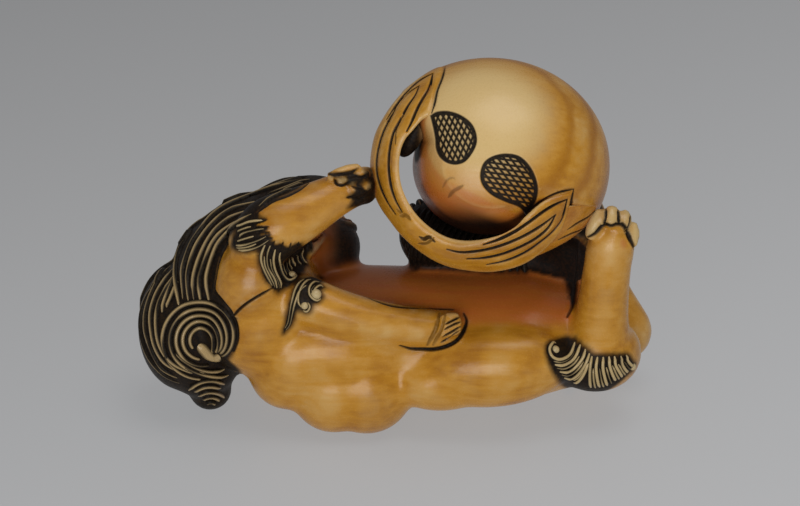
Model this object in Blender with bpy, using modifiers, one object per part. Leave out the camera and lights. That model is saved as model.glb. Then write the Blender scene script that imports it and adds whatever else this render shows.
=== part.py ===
"""Ivory netsuke: a lion-dog on its back, holding up a ribboned ball with its feet.

The netsuke is carved from one piece, so it is one solid. Sizes are in millimetres
until the last step, which writes the finished solid in metres, +Z up, with the
origin under the middle of the carving.

Places are laid out from the side that the carving is shown from: across is to the
right, up is measured on a plane that leans back by VIEW_TILT, and depth runs away
from the viewer along +Y.
"""
import math

import bmesh
import bpy
from mathutils import Euler, Matrix, Vector
from mathutils.bvhtree import BVHTree

# Driving dimensions, in millimetres
LENGTH = 55.0            # mane to heel
BALL_WIDTH = 25.5
BALL_HEIGHT = 22.9
BALL_DEPTH = 22.6
TORSO_HEIGHT = 14.5
TORSO_DEPTH = 17.6
PAW_RADIUS = 2.1
TOE_RADIUS = 0.85
HIND_TOE_RADIUS = 1.08
LOCK_RADIUS = 0.65       # a lock of hair
RIBBON_RADIUS = 9.45     # of the loop of ribbon, to its middle
RIBBON_WIDTH = 3.4       # across the three folds
RIBBON_THICKNESS = 2.9
FLAT_DEPTH = 0.3         # taken off the underside where the carving rests

CUT_START = 0.4          # where the ball starts to be cut back inside the loop, as a share of its size
CUT_REACH = 0.64         # how far the ball still reaches there
RIBBON_SHIFT = (-1.75, -0.6)

GRID_STEPS = 55          # the layout's own steps in the whole length
GRID = LENGTH / GRID_STEPS
VIEW_TILT = math.radians(25)
SOFT_VOXEL = 0.45        # mesh size while the body's forms are melted together
FINE_VOXEL = 0.28        # mesh size of the whole carving before it is thinned out
TRIANGLES = 9600

MILLIMETRE = 0.001
NAME = "lion_dog_and_ball"


def seen(across, up, depth):
    """Point at this place in the layout, in millimetres."""
    height = (up - depth * math.sin(VIEW_TILT)) / math.cos(VIEW_TILT)
    return Vector((across, depth, height)) * GRID


def clear_scene():
    for obj in list(bpy.data.objects):
        bpy.data.objects.remove(obj)


def new_object(name, mesh, matrix=None):
    obj = bpy.data.objects.new(name, mesh)
    if matrix is not None:
        mesh.transform(matrix)
    carving.objects.link(obj)
    return obj


def lump(name, centre, radii, turn=(0, 0, 0), segments=28):
    """Ellipsoid with its radii along X, Y and Z, turned by degrees about them."""
    shape = bmesh.new()
    bmesh.ops.create_uvsphere(shape, u_segments=segments, v_segments=segments // 2, radius=1)
    mesh = bpy.data.meshes.new(name)
    shape.to_mesh(mesh)
    shape.free()
    angles = [math.radians(a) for a in turn]
    turned = Euler(angles).to_matrix().to_4x4()
    stretched = Matrix.Diagonal((*(r * GRID for r in radii), 1))
    return new_object(name, mesh, Matrix.Translation(centre) @ turned @ stretched)


def smooth_path(points, steps=6):
    """Points on a smooth curve through these, as vectors of any size."""
    points = [Vector(p) for p in points]
    ends = [points[0] * 2 - points[1], *points, points[-1] * 2 - points[-2]]
    path = []
    for before, start, end, after in zip(ends, ends[1:], ends[2:], ends[3:]):
        for step in range(steps):
            t = step / steps
            path.append(
                start
                + (end - before) * (t / 2)
                + (before * 2 - start * 5 + end * 4 - after) * (t * t / 2)
                + (start * 3 - before - end * 3 + after) * (t ** 3 / 2)
            )
    return [*path, points[-1]]


def tube(name, path, radii, sides=4):
    """Tube along a path, with a radius at each point, as a mesh with its caps welded on."""
    curve = bpy.data.curves.new(name, "CURVE")
    curve.dimensions = "3D"
    curve.bevel_depth = 1.0
    curve.bevel_resolution = sides
    curve.use_fill_caps = True
    spline = curve.splines.new("POLY")
    spline.points.add(len(path) - 1)
    for point, place, radius in zip(spline.points, path, radii):
        point.co = (*place, 1)
        point.radius = radius
    wire = bpy.data.objects.new(name, curve)
    carving.objects.link(wire)
    bpy.context.view_layer.update()
    graph = bpy.context.evaluated_depsgraph_get()
    mesh = bpy.data.meshes.new_from_object(wire.evaluated_get(graph))
    bpy.data.objects.remove(wire)
    shape = bmesh.new()
    shape.from_mesh(mesh)
    bmesh.ops.remove_doubles(shape, verts=shape.verts, dist=1e-4)
    shape.to_mesh(mesh)
    shape.free()
    return new_object(name, mesh)


def limb(name, stations):
    """Round limb through stations of (across, up, depth, radius), rounded at both ends."""
    layout = smooth_path([Vector(s) for s in stations])
    path = [seen(*s[:3]) for s in layout]
    radii = [s[3] * GRID for s in layout]
    pieces = [tube(name, path, radii, sides=6)]
    for end, radius in ((path[0], radii[0]), (path[-1], radii[-1])):
        pieces.append(lump(name + "_end", end, [radius / GRID] * 3))
    return pieces


def melted(name, pieces, voxel, rounds):
    """One closed skin over these pieces, with its inner corners softened."""
    shape = bmesh.new()
    for piece in pieces:
        shape.from_mesh(piece.data)
        bpy.data.objects.remove(piece)
    mesh = bpy.data.meshes.new(name)
    shape.to_mesh(mesh)
    shape.free()
    skin = new_object(name, mesh)
    remesh = skin.modifiers.new("one skin", "REMESH")
    remesh.mode = "VOXEL"
    remesh.voxel_size = voxel
    soften = skin.modifiers.new("soften", "SMOOTH")
    soften.factor = 0.5
    soften.iterations = rounds
    return baked(skin)


def baked(obj):
    """The object with its modifiers applied."""
    bpy.context.view_layer.update()
    graph = bpy.context.evaluated_depsgraph_get()
    mesh = bpy.data.meshes.new_from_object(obj.evaluated_get(graph))
    name = obj.name
    bpy.data.objects.remove(obj)
    return new_object(name, mesh)


def view_axes(azimuth, elevation):
    """Right, up and towards the viewer, for someone who walks round the carving."""
    a, e = math.radians(azimuth), math.radians(elevation)
    right = Vector((math.cos(a), math.sin(a), 0))
    back = Vector((math.sin(a) * math.cos(e), -math.cos(a) * math.cos(e), math.sin(e)))
    return right, back.cross(right), back


FRONT = view_axes(0, 25)


def draped(skin, path, view=FRONT):
    """The path's (across, up) points, laid on the skin as this viewer sees it."""
    right, up, back = view
    laid = []
    for across, height in path:
        start = (right * across + up * height) * GRID + back * 200
        place, _, _, _ = skin.ray_cast(start, -back)
        if place is None:
            continue
        if laid and (place - laid[-1]).length > 2.2 * GRID:
            break
        laid.append(place)
    return laid


def lock(name, path, radius=LOCK_RADIUS, tip=0.35):
    """Lock of hair along a path, thinner at both ends."""
    last = max(1, len(path) - 1)
    radii = [radius * (tip + (1 - tip) * math.sin(math.pi * i / last) ** 0.5) for i in range(len(path))]
    return tube(name, path, radii, sides=2)


def combed(name, skin, first, last, count, view=FRONT, radius=LOCK_RADIUS):
    """Locks laid side by side between two edges of (across, up) points."""
    edges = [smooth_path([Vector(p) for p in edge], 4) for edge in (first, last)]
    locks = []
    for i in range(count):
        share = i / max(1, count - 1)
        path = draped(skin, [a.lerp(b, share) for a, b in zip(*edges)], view)
        if len(path) > 3:
            locks.append(lock(f"{name}_{i}", path, radius))
    return locks


def curl(name, skin, centre, radius, arms, sweep, start, view=FRONT, thickness=LOCK_RADIUS):
    """Snail curl: arms that run round and into its eye, over this sweep in degrees."""
    locks = []
    for arm in range(arms):
        outer = radius * (1 - 0.72 * arm / arms)
        inner = outer * 0.42
        path = []
        for step in range(25):
            t = step / 24
            angle = math.radians(start - sweep * t)
            reach = outer + (inner - outer) * t ** 1.6
            path.append((centre[0] + reach * math.cos(angle), centre[1] + reach * math.sin(angle)))
        laid = draped(skin, path, view)
        if len(laid) > 3:
            locks.append(lock(f"{name}_{arm}", laid, thickness))
    return locks


def torso():
    """Belly-up body: a tube that is deeper than it is tall, with the chest at one end."""
    spread = TORSO_DEPTH / TORSO_HEIGHT
    half = TORSO_HEIGHT / 2 / GRID
    middle = 2.0
    stations = [(-14.0, 8.2, half - 1.0), (-6.0, 8.4, half), (4.0, 8.5, half - 0.1),
                (13.0, 8.6, half), (19.5, 8.4, half - 1.0)]
    layout = smooth_path(stations)
    places = [seen(p[0], p[1], middle) for p in layout]
    pieces = [tube("torso", places, [p[2] * GRID for p in layout], sides=8)]
    for end, station in ((places[0], stations[0]), (places[-1], stations[-1])):
        pieces.append(lump("torso_end", end, [station[2]] * 3))
    for piece in pieces:
        centre = middle * GRID
        for vertex in piece.data.vertices:
            vertex.co.y = centre + (vertex.co.y - centre) * spread
    return pieces


def chest_and_shoulders():
    """Shoulder mass that the carving rests on, with the low humps of its muscles."""
    return [
        lump("chest", seen(-14.3, 11.6, -0.7), (7.0, 7.6, 7.6)),
        lump("side", seen(-6.8, 7.4, -2.5), (10.2, 6.0, 6.0), (0, 4, 0)),
        lump("shoulder", seen(-11.4, 6.9, -2.4), (6.2, 6.2, 6.5), (0, 20, 0)),
        lump("shoulder_point", seen(-11.0, 5.2, -3.6), (4.6, 4.4, 4.9), (0, 30, 0)),
        lump("shoulder_blade", seen(-2.9, 3.2, -3.6), (5.3, 5.3, 5.4)),
        lump("blade_edge", seen(-6.4, 3.2, -3.9), (5.0, 5.0, 5.3)),
        lump("upper_arm", seen(-15.2, 14.0, -4.6), (3.9, 3.9, 4.9), (0, 12, 0)),
        lump("far_shoulder", seen(-10.5, 7.45, 5.5), (7.6, 5.6, 5.8)),
        lump("far_elbow", seen(-17.0, 9.4, 5.5), (5.0, 5.2, 4.7)),
    ]


def forelegs():
    """One foreleg reaches up to the ribbon, the other lies along the flank."""
    reaching = [(-14.2, 18.6, -4.6, 3.3), (-12.6, 20.0, -4.9, 3.5), (-9.8, 21.4, -4.4, 3.0),
                (-6.4, 23.2, -3.4, 2.35), (-4.2, 24.3, -2.8, PAW_RADIUS / GRID)]
    resting = [(-9.6, 12.4, -5.2, 2.7), (-4.7, 10.7, -5.6, 2.45), (0.7, 9.7, -5.3, 2.15),
               (5.2, 9.25, -5.1, 0.93 * PAW_RADIUS / GRID)]
    paw = lump("paw", seen(-2.9, 24.5, -2.4), (1.5, 1.6, 2.3))
    return [*limb("reaching_foreleg", reaching), *limb("resting_foreleg", resting), paw]


def hind_legs():
    """Folded thighs and hocks, and the two feet that stand up and press on the ball."""
    foot = [(22.0, 7.8, -2.4, 3.6), (22.3, 11.4, -2.9, 2.85),
            (22.6, 15.6, -3.2, 2.55), (22.8, 18.2, -3.2, 2.6)]
    far_foot = [(24.8, 9.2, 6.4, 3.3), (22.7, 14.2, 8.4, 2.7),
                (21.4, 19.8, 9.0, 2.45), (20.0, 23.0, 8.6, 2.4)]
    return [
        lump("thigh", seen(11.0, 5.4, -4.6), (9.6, 4.7, 4.8), (0, -2, 0)),
        lump("hock", seen(21.6, 6.8, -1.4), (5.0, 4.9, 4.0)),
        *limb("foot", foot),
        lump("far_thigh", seen(13.5, 9.2, 6.6), (8.6, 4.6, 5.2)),
        lump("far_haunch", seen(18.0, 7.95, 7.0), (6.6, 5.2, 5.6)),
        *limb("far_foot", far_foot),
    ]


def head():
    """Head turned away from the shown side, its muzzle resting on the chest."""
    return [
        lump("skull", seen(-13.2, 16.9, 5.6), (6.4, 6.2, 6.6)),
        lump("muzzle", seen(-7.9, 18.0, 7.2), (4.4, 4.4, 3.5), (0, 0, 28)),
        lump("jaw", seen(-8.4, 15.4, 7.0), (3.9, 3.8, 2.2), (0, 0, 28)),
        lump("cheek", seen(-11.2, 16.8, 10.0), (3.6, 2.6, 3.6)),
    ]


def mane_base():
    """Mass that the locks of the mane lie on."""
    return [
        lump("mane_side", seen(-22.6, 9.4, 1.4), (4.9, 7.2, 6.9)),
        lump("mane_top", seen(-19.3, 15.0, 1.8), (5.1, 7.2, 6.1)),
        lump("mane_crown", seen(-15.0, 19.0, 2.4), (5.9, 6.6, 4.0)),
        lump("mane_fringe", seen(-10.8, 21.9, 2.4), (6.0, 4.4, 2.9), (0, -16, 0)),
        lump("mane_foot", seen(-20.2, 5.0, 1.2), (4.0, 5.6, 3.7)),
    ]


def tail_base():
    """Bushy tail drawn up over the belly, where it carries the ball."""
    return [
        lump("tail_tip", seen(4.1, 19.3, 5.6), (3.6, 3.6, 3.9)),
        lump("tail_bush", seen(9.5, 17.9, 6.0), (8.0, 3.8, 3.9)),
        lump("tail_root", seen(16.0, 15.4, 6.4), (6.0, 4.2, 4.6)),
    ]


def on_ball(across, up, sink=0.0):
    """Point on the ball's front at this place beside its middle, sunk along the surface's normal."""
    right, lift, back = FRONT
    width, height, depth = BALL_WIDTH / 2, BALL_HEIGHT / 2, BALL_DEPTH / 2
    reach = math.hypot(across / width, up / height)
    if reach > 0.985:
        across, up = across * 0.985 / reach, up * 0.985 / reach
        reach = 0.985
    front = depth * math.sqrt(1 - reach * reach)
    normal = right * (across / width ** 2) + lift * (up / height ** 2) + back * (front / depth ** 2)
    return ball_centre() + right * across + lift * up + back * front - normal.normalized() * sink


def ball():
    """Ball, cut back inside the ribbon's loop so that the loop stands free of it."""
    right, lift, back = FRONT
    shape = bmesh.new()
    bmesh.ops.create_uvsphere(shape, u_segments=96, v_segments=48, radius=1)
    mesh = bpy.data.meshes.new("ball")
    shape.to_mesh(mesh)
    shape.free()
    for vertex in mesh.vertices:
        across, depth, up = vertex.co
        reach = math.hypot(across, up)
        angle = math.degrees(math.atan2(up, across)) % 360
        inside = smooth_step((angle - 136) / 24) * smooth_step((346 - angle) / 26)
        if reach > CUT_START:
            narrowed = CUT_START + (reach - CUT_START) * (CUT_REACH - CUT_START) / (1 - CUT_START)
            share = (reach + (narrowed - reach) * inside) / reach
            across, up = across * share, up * share
        vertex.co = (
            right * (across * BALL_WIDTH / 2)
            + lift * (up * BALL_HEIGHT / 2)
            - back * (depth * BALL_DEPTH / 2)
        )
    return new_object("ball", mesh, Matrix.Translation(ball_centre()))


def ribbon():
    """Loop of folded ribbon that follows the ball's outline, its pointed ends lying on the ball."""
    starts, ends = (126, 117, 108), (333, 348, 328)
    pieces = []
    for fold in range(3):
        for layer, (radius, sink) in enumerate(((0.25, 0.0), (0.27, 0.42))):
            path, radii = [], []
            for step in range(41):
                t = step / 40
                angle = math.radians(starts[fold] + (ends[fold] - starts[fold]) * t)
                share = 0.85 + 0.3 * ((math.degrees(angle) - 200) / 110) ** 2
                reach = RIBBON_RADIUS + (fold - 0.9) * RIBBON_WIDTH * 0.31 * share * (1 - 0.3 * layer)
                reach += 0.09 * RIBBON_RADIUS * smooth_step((math.degrees(angle) - 322) / 26)
                across = RIBBON_SHIFT[0] * GRID + reach * math.cos(angle)
                up = RIBBON_SHIFT[1] * GRID + reach * math.sin(angle)
                place = on_ball(across, up, 0.22 * RIBBON_THICKNESS)
                path.append(place - FRONT[2] * (sink * RIBBON_THICKNESS))
                radii.append(RIBBON_THICKNESS * radius * share * min(1.0, 0.3 + 9 * t, 0.3 + 9 * (1 - t)))
            pieces.append(tube(f"ribbon_{fold}_{layer}", path, radii, sides=3))
    return pieces


def toes(name, places, radius):
    """Toes at (across, up, depth) places, each a little longer than it is wide."""
    radii = [radius / GRID * stretch for stretch in (1, 1.15, 1.3)]
    return [lump(f"{name}_{i}", seen(*place), radii) for i, place in enumerate(places)]


def ball_centre():
    """The ball rests on the tail, so its centre is half its height above that place."""
    return seen(10.2, 15.15, -3.85) + FRONT[1] * (BALL_HEIGHT / 2)


def smooth_step(share):
    """0 to 1 with a soft start and end."""
    share = min(1.0, max(0.0, share))
    return share * share * (3 - 2 * share)


def hair_on(skin):
    """Locks of the mane, its curls, the tail and the tufts at the elbows and the hock."""
    mane_outer = [(-6.0, 25.9), (-10.0, 24.7), (-14.1, 23.2), (-17.7, 21.7),
                  (-20.2, 19.8), (-21.8, 17.2), (-22.7, 13.9)]
    mane_inner = [(-12.8, 22.0), (-15.8, 20.3), (-17.0, 18.8), (-17.6, 16.9),
                  (-18.0, 14.8), (-18.3, 13.2), (-18.6, 12.2)]
    side_outer = [(-22.3, 18.0), (-24.3, 15.6), (-25.9, 12.8), (-26.7, 9.9),
                  (-26.5, 7.1), (-25.2, 4.5), (-22.8, 3.1)]
    side_inner = [(-22.7, 15.6), (-23.6, 14.0), (-24.5, 12.2), (-24.9, 9.9),
                  (-24.5, 7.4), (-23.1, 5.3), (-20.5, 4.1)]
    locks = combed("mane", skin, mane_outer, mane_inner, 4)
    locks += combed("mane_side", skin, side_outer, side_inner, 2)
    locks += curl("mane_curl", skin, (-20.4, 8.3), 3.6, 3, 300, -50)
    locks += curl("mane_foot", skin, (-19.6, 2.8), 1.6, 2, 240, 20)
    elbow = [(-15.9, 19.3), (-14.6, 18.2), (-13.3, 17.3), (-11.6, 16.6)]
    elbow_tips = [(-17.0, 16.6), (-14.8, 14.6), (-13.2, 13.0), (-11.8, 13.6)]
    locks += tuft("elbow_tuft", skin, elbow, elbow_tips, 5)
    wrist = [(-8.6, 15.0), (-8.4, 14.0), (-8.6, 13.2)]
    wrist_tips = [(-9.4, 15.6), (-10.6, 13.6), (-11.4, 9.6)]
    locks += tuft("foreleg_tuft", skin, wrist, wrist_tips, 4)
    heel = [(17.9, 6.6), (19.4, 6.4), (21.2, 5.6), (23.4, 5.5), (25.4, 5.7)]
    heel_tips = [(17.2, 3.6), (18.8, 2.4), (21.2, 1.9), (23.4, 2.3), (25.2, 3.9)]
    locks += tuft("hock_tuft", skin, heel, heel_tips, 7)
    tail_top = [(2.6, 22.6), (6.0, 22.4), (9.0, 21.0), (12.0, 19.6), (15.0, 18.4)]
    tail_tips = [(1.2, 16.6), (3.2, 16.2), (6.6, 15.6), (10.2, 15.2), (14.2, 15.2)]
    locks += tuft("tail_hair", skin, tail_top, tail_tips, 9)
    return locks


def tuft(name, skin, roots, tips, count, view=FRONT, radius=LOCK_RADIUS):
    """Short locks side by side, each from a place along the roots to one along the tips."""
    roots = smooth_path([Vector(p) for p in roots], 8)
    tips = smooth_path([Vector(p) for p in tips], 8)
    locks = []
    for i in range(count):
        share = i / max(1, count - 1)
        start = roots[round(share * (len(roots) - 1))]
        end = tips[round(share * (len(tips) - 1))]
        path = draped(skin, [start.lerp(end, step / 7) for step in range(8)], view)
        if len(path) > 3:
            locks.append(lock(f"{name}_{i}", path, radius))
    return locks


def far_hair_on(skin):
    """Mane locks and the tail's hair on the side turned away, where the face looks out."""
    behind = view_axes(180, 25)
    outer = [(4.0, 22.5), (9.0, 24.6), (14.0, 24.2), (19.0, 21.5), (22.6, 17.0), (24.6, 11.0)]
    inner = [(5.6, 17.0), (9.0, 19.0), (12.6, 18.6), (15.8, 16.0), (17.8, 12.0), (19.4, 7.6)]
    locks = combed("far_mane", skin, outer, inner, 5, behind)
    crown = view_axes(270, 20)
    first = [(-6.0, 21.0), (-6.6, 14.0), (-5.0, 7.0)]
    last = [(7.0, 21.0), (7.6, 14.0), (6.0, 7.0)]
    locks += combed("nape", skin, first, last, 9, crown)
    return locks


def face_on(skin):
    """Brow, eye, nose, ear and teeth on the far side of the head."""
    return [
        lump("nose", seen(-5.3, 19.3, 9.6), (1.4, 1.7, 1.0), (0, 0, 28)),
        lump("brow", seen(-9.8, 21.0, 10.0), (2.6, 1.3, 0.9), (0, 12, 28)),
        lump("eye", seen(-9.3, 19.6, 10.8), (1.3, 1.0, 1.1), (0, 0, 28)),
        lump("ear", seen(-15.6, 19.6, 10.8), (2.6, 1.1, 1.7), (0, 30, 0)),
    ]


clear_scene()
carving = bpy.data.collections.new("netsuke")
cutters = bpy.data.collections.new("cutters")
for collection in (carving, cutters):
    bpy.context.scene.collection.children.link(collection)

# Soft forms: everything that flows together without an edge
soft = [
    *torso(), *chest_and_shoulders(), *forelegs(), *hind_legs(), *head(), *mane_base(), *tail_base(),
]
body = melted("body", soft, SOFT_VOXEL, 12)

# Crisp forms laid on that skin: hair, toes, face, ball and ribbon
skin = BVHTree.FromPolygons([v.co for v in body.data.vertices], [p.vertices for p in body.data.polygons])
crisp = hair_on(skin) + far_hair_on(skin) + face_on(skin)
upper_toes = [(-2.9, 25.7, -2.6), (-2.0, 24.9, -2.9), (-2.0, 23.8, -3.0), (-2.7, 22.8, -2.9)]
lower_toes = [(6.0, 10.6, -5.6), (6.6, 9.9, -6.1), (6.6, 9.0, -6.3), (6.0, 8.2, -6.1)]
hind_toes = [(21.1, 20.2, -4.4), (22.3, 21.0, -4.6), (23.8, 20.8, -4.6), (24.8, 19.5, -4.2)]
far_toes = [(18.2, 24.0, 9.0), (19.2, 24.8, 8.8), (20.5, 24.9, 8.8), (21.6, 24.0, 9.0)]
crisp += toes("upper_toe", upper_toes, TOE_RADIUS)
crisp += toes("lower_toe", lower_toes, TOE_RADIUS)
crisp += toes("hind_toe", hind_toes, HIND_TOE_RADIUS)
crisp += toes("far_toe", far_toes, HIND_TOE_RADIUS)
crisp += [ball(), *ribbon()]
netsuke = melted(NAME, [body, *crisp], FINE_VOXEL, 1)


def keep_largest(obj):
    """Drop closed pockets and specks, so that one skin is left."""
    shape = bmesh.new()
    shape.from_mesh(obj.data)
    left = set(shape.verts)
    islands = []
    while left:
        found = {left.pop()}
        edge = set(found)
        while edge:
            edge = {e.other_vert(v) for v in edge for e in v.link_edges} - found
            found |= edge
        left -= found
        islands.append(found)
    islands.sort(key=len)
    for island in islands[:-1]:
        bmesh.ops.delete(shape, geom=list(island), context="VERTS")
    shape.to_mesh(obj.data)
    shape.free()


def thinned(obj, triangles):
    """The object in about this many triangles."""
    obj.data.calc_loop_triangles()
    thin = obj.modifiers.new("thin out", "DECIMATE")
    thin.ratio = triangles / len(obj.data.loop_triangles)
    thin.use_collapse_triangulate = True
    return baked(obj)


keep_largest(netsuke)
netsuke = thinned(netsuke, TRIANGLES)

# Flat spots where it rests: a slab takes a little off the underside
shape = bmesh.new()
bmesh.ops.create_cube(shape, size=2)
slab_mesh = bpy.data.meshes.new("floor_cutter")
shape.to_mesh(slab_mesh)
shape.free()
lowest = min(v.co.z for v in netsuke.data.vertices)
slab_mesh.transform(
    Matrix.Translation((0, 0, lowest + FLAT_DEPTH - LENGTH)) @ Matrix.Diagonal((LENGTH, LENGTH, LENGTH, 1))
)
slab = bpy.data.objects.new("floor_cutter", slab_mesh)
cutters.objects.link(slab)
slab.hide_render = True
slab.display_type = "WIRE"
cut = netsuke.modifiers.new("rest flat", "BOOLEAN")
cut.operation = "DIFFERENCE"
cut.solver = "EXACT"
cut.object = slab
netsuke = baked(netsuke)

# Metres, standing on the floor, with the origin under the middle
corners = [v.co.copy() for v in netsuke.data.vertices]
low = Vector([min(c[i] for c in corners) for i in range(3)])
high = Vector([max(c[i] for c in corners) for i in range(3)])
print("millimetres", [round(v, 2) for v in low], [round(v, 2) for v in high])
under = Vector(((low.x + high.x) / 2, (low.y + high.y) / 2, low.z))
for obj in (netsuke, slab):
    obj.data.transform(Matrix.Scale(MILLIMETRE, 4) @ Matrix.Translation(-under))

ivory = bpy.data.materials.new("ivory")
ivory.use_nodes = True
surface = ivory.node_tree.nodes["Principled BSDF"]
surface.inputs["Base Color"].default_value = (0.62, 0.36, 0.12, 1)
surface.inputs["Roughness"].default_value = 0.3
surface.inputs["Metallic"].default_value = 0.0
netsuke.data.materials.clear()
netsuke.data.materials.append(ivory)
netsuke.name = NAME
netsuke.data.name = NAME
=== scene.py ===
"""Ivory netsuke: a lion-dog on its back, holding up a ball tied with a loop of ribbon.

Shapes are laid out in millimetres, seen from the side that the carving is shown from:
across is to the right, up is measured on a plane that leans back by VIEW_TILT, and
depth runs away from the viewer along +Y. Each piece is scaled to metres when it is done.
"""
import math

import bmesh
import bpy
import numpy as np
from mathutils import Euler, Matrix, Vector
from mathutils.bvhtree import BVHTree
from mathutils.kdtree import KDTree


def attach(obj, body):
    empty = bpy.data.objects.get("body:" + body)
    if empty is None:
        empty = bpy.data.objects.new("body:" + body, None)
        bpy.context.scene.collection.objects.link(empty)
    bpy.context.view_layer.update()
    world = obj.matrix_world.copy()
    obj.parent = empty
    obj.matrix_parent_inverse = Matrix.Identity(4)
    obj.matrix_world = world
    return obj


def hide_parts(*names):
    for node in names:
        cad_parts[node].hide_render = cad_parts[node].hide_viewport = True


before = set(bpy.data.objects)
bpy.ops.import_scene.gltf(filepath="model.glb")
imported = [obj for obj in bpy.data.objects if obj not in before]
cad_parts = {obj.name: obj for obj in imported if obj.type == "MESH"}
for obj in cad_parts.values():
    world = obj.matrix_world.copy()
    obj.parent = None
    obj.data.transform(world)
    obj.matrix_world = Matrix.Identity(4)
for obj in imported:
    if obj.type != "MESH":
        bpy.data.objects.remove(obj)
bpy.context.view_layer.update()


# The animal's body
# Torso, legs and head are cut from one block of ivory, so they flow together without a
# seam. The forms are rough lumps and limbs first, melted to one skin as a carver rounds
# them off. The ivory is warm and cloudy, with a fine grain along the tusk.
VIEW_TILT = math.radians(25)
UNDER = Vector((0.25, 1.085, 0.22))     # the layout's place of the CAD origin
ROUGH_VOXEL = 0.36
ROUNDING = 19
MILLIMETRE = 0.001


def seen(across, up, depth):
    """Point at this place in the layout, from the CAD origin."""
    height = (up - depth * math.sin(VIEW_TILT)) / math.cos(VIEW_TILT)
    return Vector((across, depth, height)) - UNDER


def placed(name, data):
    """Object with this mesh, light or camera, put in the scene."""
    made = bpy.data.objects.new(name, data)
    bpy.context.scene.collection.objects.link(made)
    return made


def mesh_object(name, points, faces):
    mesh = bpy.data.meshes.new(name)
    mesh.from_pydata([tuple(p) for p in points], [], faces)
    return placed(name, mesh)


def lump(place, radii, turn=(0, 0, 0), segments=28):
    """Ellipsoid with its radii along X, Y and Z, turned by degrees about them."""
    shape = bmesh.new()
    bmesh.ops.create_uvsphere(shape, u_segments=segments, v_segments=segments // 2, radius=1)
    mesh = bpy.data.meshes.new("lump")
    shape.to_mesh(mesh)
    shape.free()
    turned = Euler([math.radians(a) for a in turn]).to_matrix().to_4x4()
    mesh.transform(Matrix.Translation(place) @ turned @ Matrix.Diagonal((*radii, 1)))
    return placed("lump", mesh)


def smooth_path(points, steps=6):
    """Points on a smooth curve through these, as vectors of any size."""
    points = [Vector(p) for p in points]
    ends = [points[0] * 2 - points[1], *points, points[-1] * 2 - points[-2]]
    path = []
    for before, start, end, after in zip(ends, ends[1:], ends[2:], ends[3:]):
        for step in range(steps):
            t = step / steps
            path.append(
                start
                + (end - before) * (t / 2)
                + (before * 2 - start * 5 + end * 4 - after) * (t * t / 2)
                + (start * 3 - before - end * 3 + after) * (t ** 3 / 2)
            )
    return [*path, points[-1]]


def bar(path, radii, outs=None, height=1.0, sides=12):
    """Rounded bar along a path: its points, its faces, and how near its crest each point is."""
    points, crest = [], []
    out = Vector((0.1, 0.2, 1))
    last = len(path) - 1
    for i, place in enumerate(path):
        ahead = (path[min(i + 1, last)] - path[max(i - 1, 0)]).normalized()
        out = outs[i] if outs else out
        out = (out - ahead * out.dot(ahead)).normalized()
        side = ahead.cross(out)
        for step in range(sides):
            angle = 2 * math.pi * step / sides
            reach = side * math.cos(angle) + out * (math.sin(angle) * height)
            points.append(place + reach * radii[i])
            crest.append(math.sin(angle))
    faces = [tuple(reversed(range(sides))), tuple(range(last * sides, (last + 1) * sides))]
    for i in range(last):
        for step in range(sides):
            a, b = i * sides + step, i * sides + (step + 1) % sides
            faces.append((a, b, b + sides, a + sides))
    return points, faces, crest


def limb(stations):
    """Round limb through stations of (across, up, depth, radius), rounded at both ends."""
    layout = smooth_path(stations)
    path = [seen(*s[:3]) for s in layout]
    radii = [s[3] for s in layout]
    points, faces, _ = bar(path, radii, sides=24)
    return [
        mesh_object("limb", points, faces),
        lump(path[0], [radii[0]] * 3),
        lump(path[-1], [radii[-1]] * 3),
    ]


def melted(name, pieces, voxel, rounds):
    """One closed skin over these pieces, with its inner corners softened."""
    shape = bmesh.new()
    for piece in pieces:
        shape.from_mesh(piece.data)
        bpy.data.objects.remove(piece)
    mesh = bpy.data.meshes.new(name)
    shape.to_mesh(mesh)
    shape.free()
    skin = placed(name, mesh)
    remesh = skin.modifiers.new("one skin", "REMESH")
    remesh.mode = "VOXEL"
    remesh.voxel_size = voxel
    soften = skin.modifiers.new("soften", "SMOOTH")
    soften.factor = 0.5
    soften.iterations = rounds
    bpy.context.view_layer.update()
    graph = bpy.context.evaluated_depsgraph_get()
    result = bpy.data.meshes.new_from_object(skin.evaluated_get(graph))
    bpy.data.objects.remove(skin)
    return placed(name, result)


def tree_of(*pieces):
    """Surface of these pieces, for laying lines on it and looking past it."""
    points, faces = [], []
    for piece in pieces:
        first = len(points)
        points += [v.co.copy() for v in piece.data.vertices]
        faces += [[first + i for i in p.vertices] for p in piece.data.polygons]
    return BVHTree.FromPolygons(points, faces)


CREAM = (0.80, 0.57, 0.25)
GOLD = (0.61, 0.278, 0.022)
OCHRE = (0.40, 0.150, 0.007)
RED_BROWN = (0.54, 0.145, 0.026)
UMBER_STAIN_AND_SHADE = (0.035, 0.014, 0.007)
INK = (0.008, 0.006, 0.005)
PALE = (0.58, 0.45, 0.22)


def add_node(tree, kind, settings=None, **inputs):
    made = tree.nodes.new(kind)
    for name, value in (settings or {}).items():
        setattr(made, name, value)
    for name, value in inputs.items():
        key = name.replace("_", " ")
        socket = next(s for s in made.inputs if s.identifier == name or s.name == key)
        if isinstance(value, bpy.types.NodeSocket):
            tree.links.new(value, socket)
        else:
            socket.default_value = value
    return made


def attribute(tree, name):
    return add_node(tree, "ShaderNodeAttribute", {"attribute_name": name}).outputs["Fac"]


def blend(tree, share, first, second):
    """Colour between two, each a socket or a plain colour."""
    first = (*first, 1) if isinstance(first, tuple) else first
    second = (*second, 1) if isinstance(second, tuple) else second
    mixed = add_node(tree, "ShaderNodeMix", {"data_type": "RGBA"})
    for value, index in ((share, 0), (first, 6), (second, 7)):
        if isinstance(value, bpy.types.NodeSocket):
            tree.links.new(value, mixed.inputs[index])
        else:
            mixed.inputs[index].default_value = value
    return mixed.outputs[2]


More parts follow.
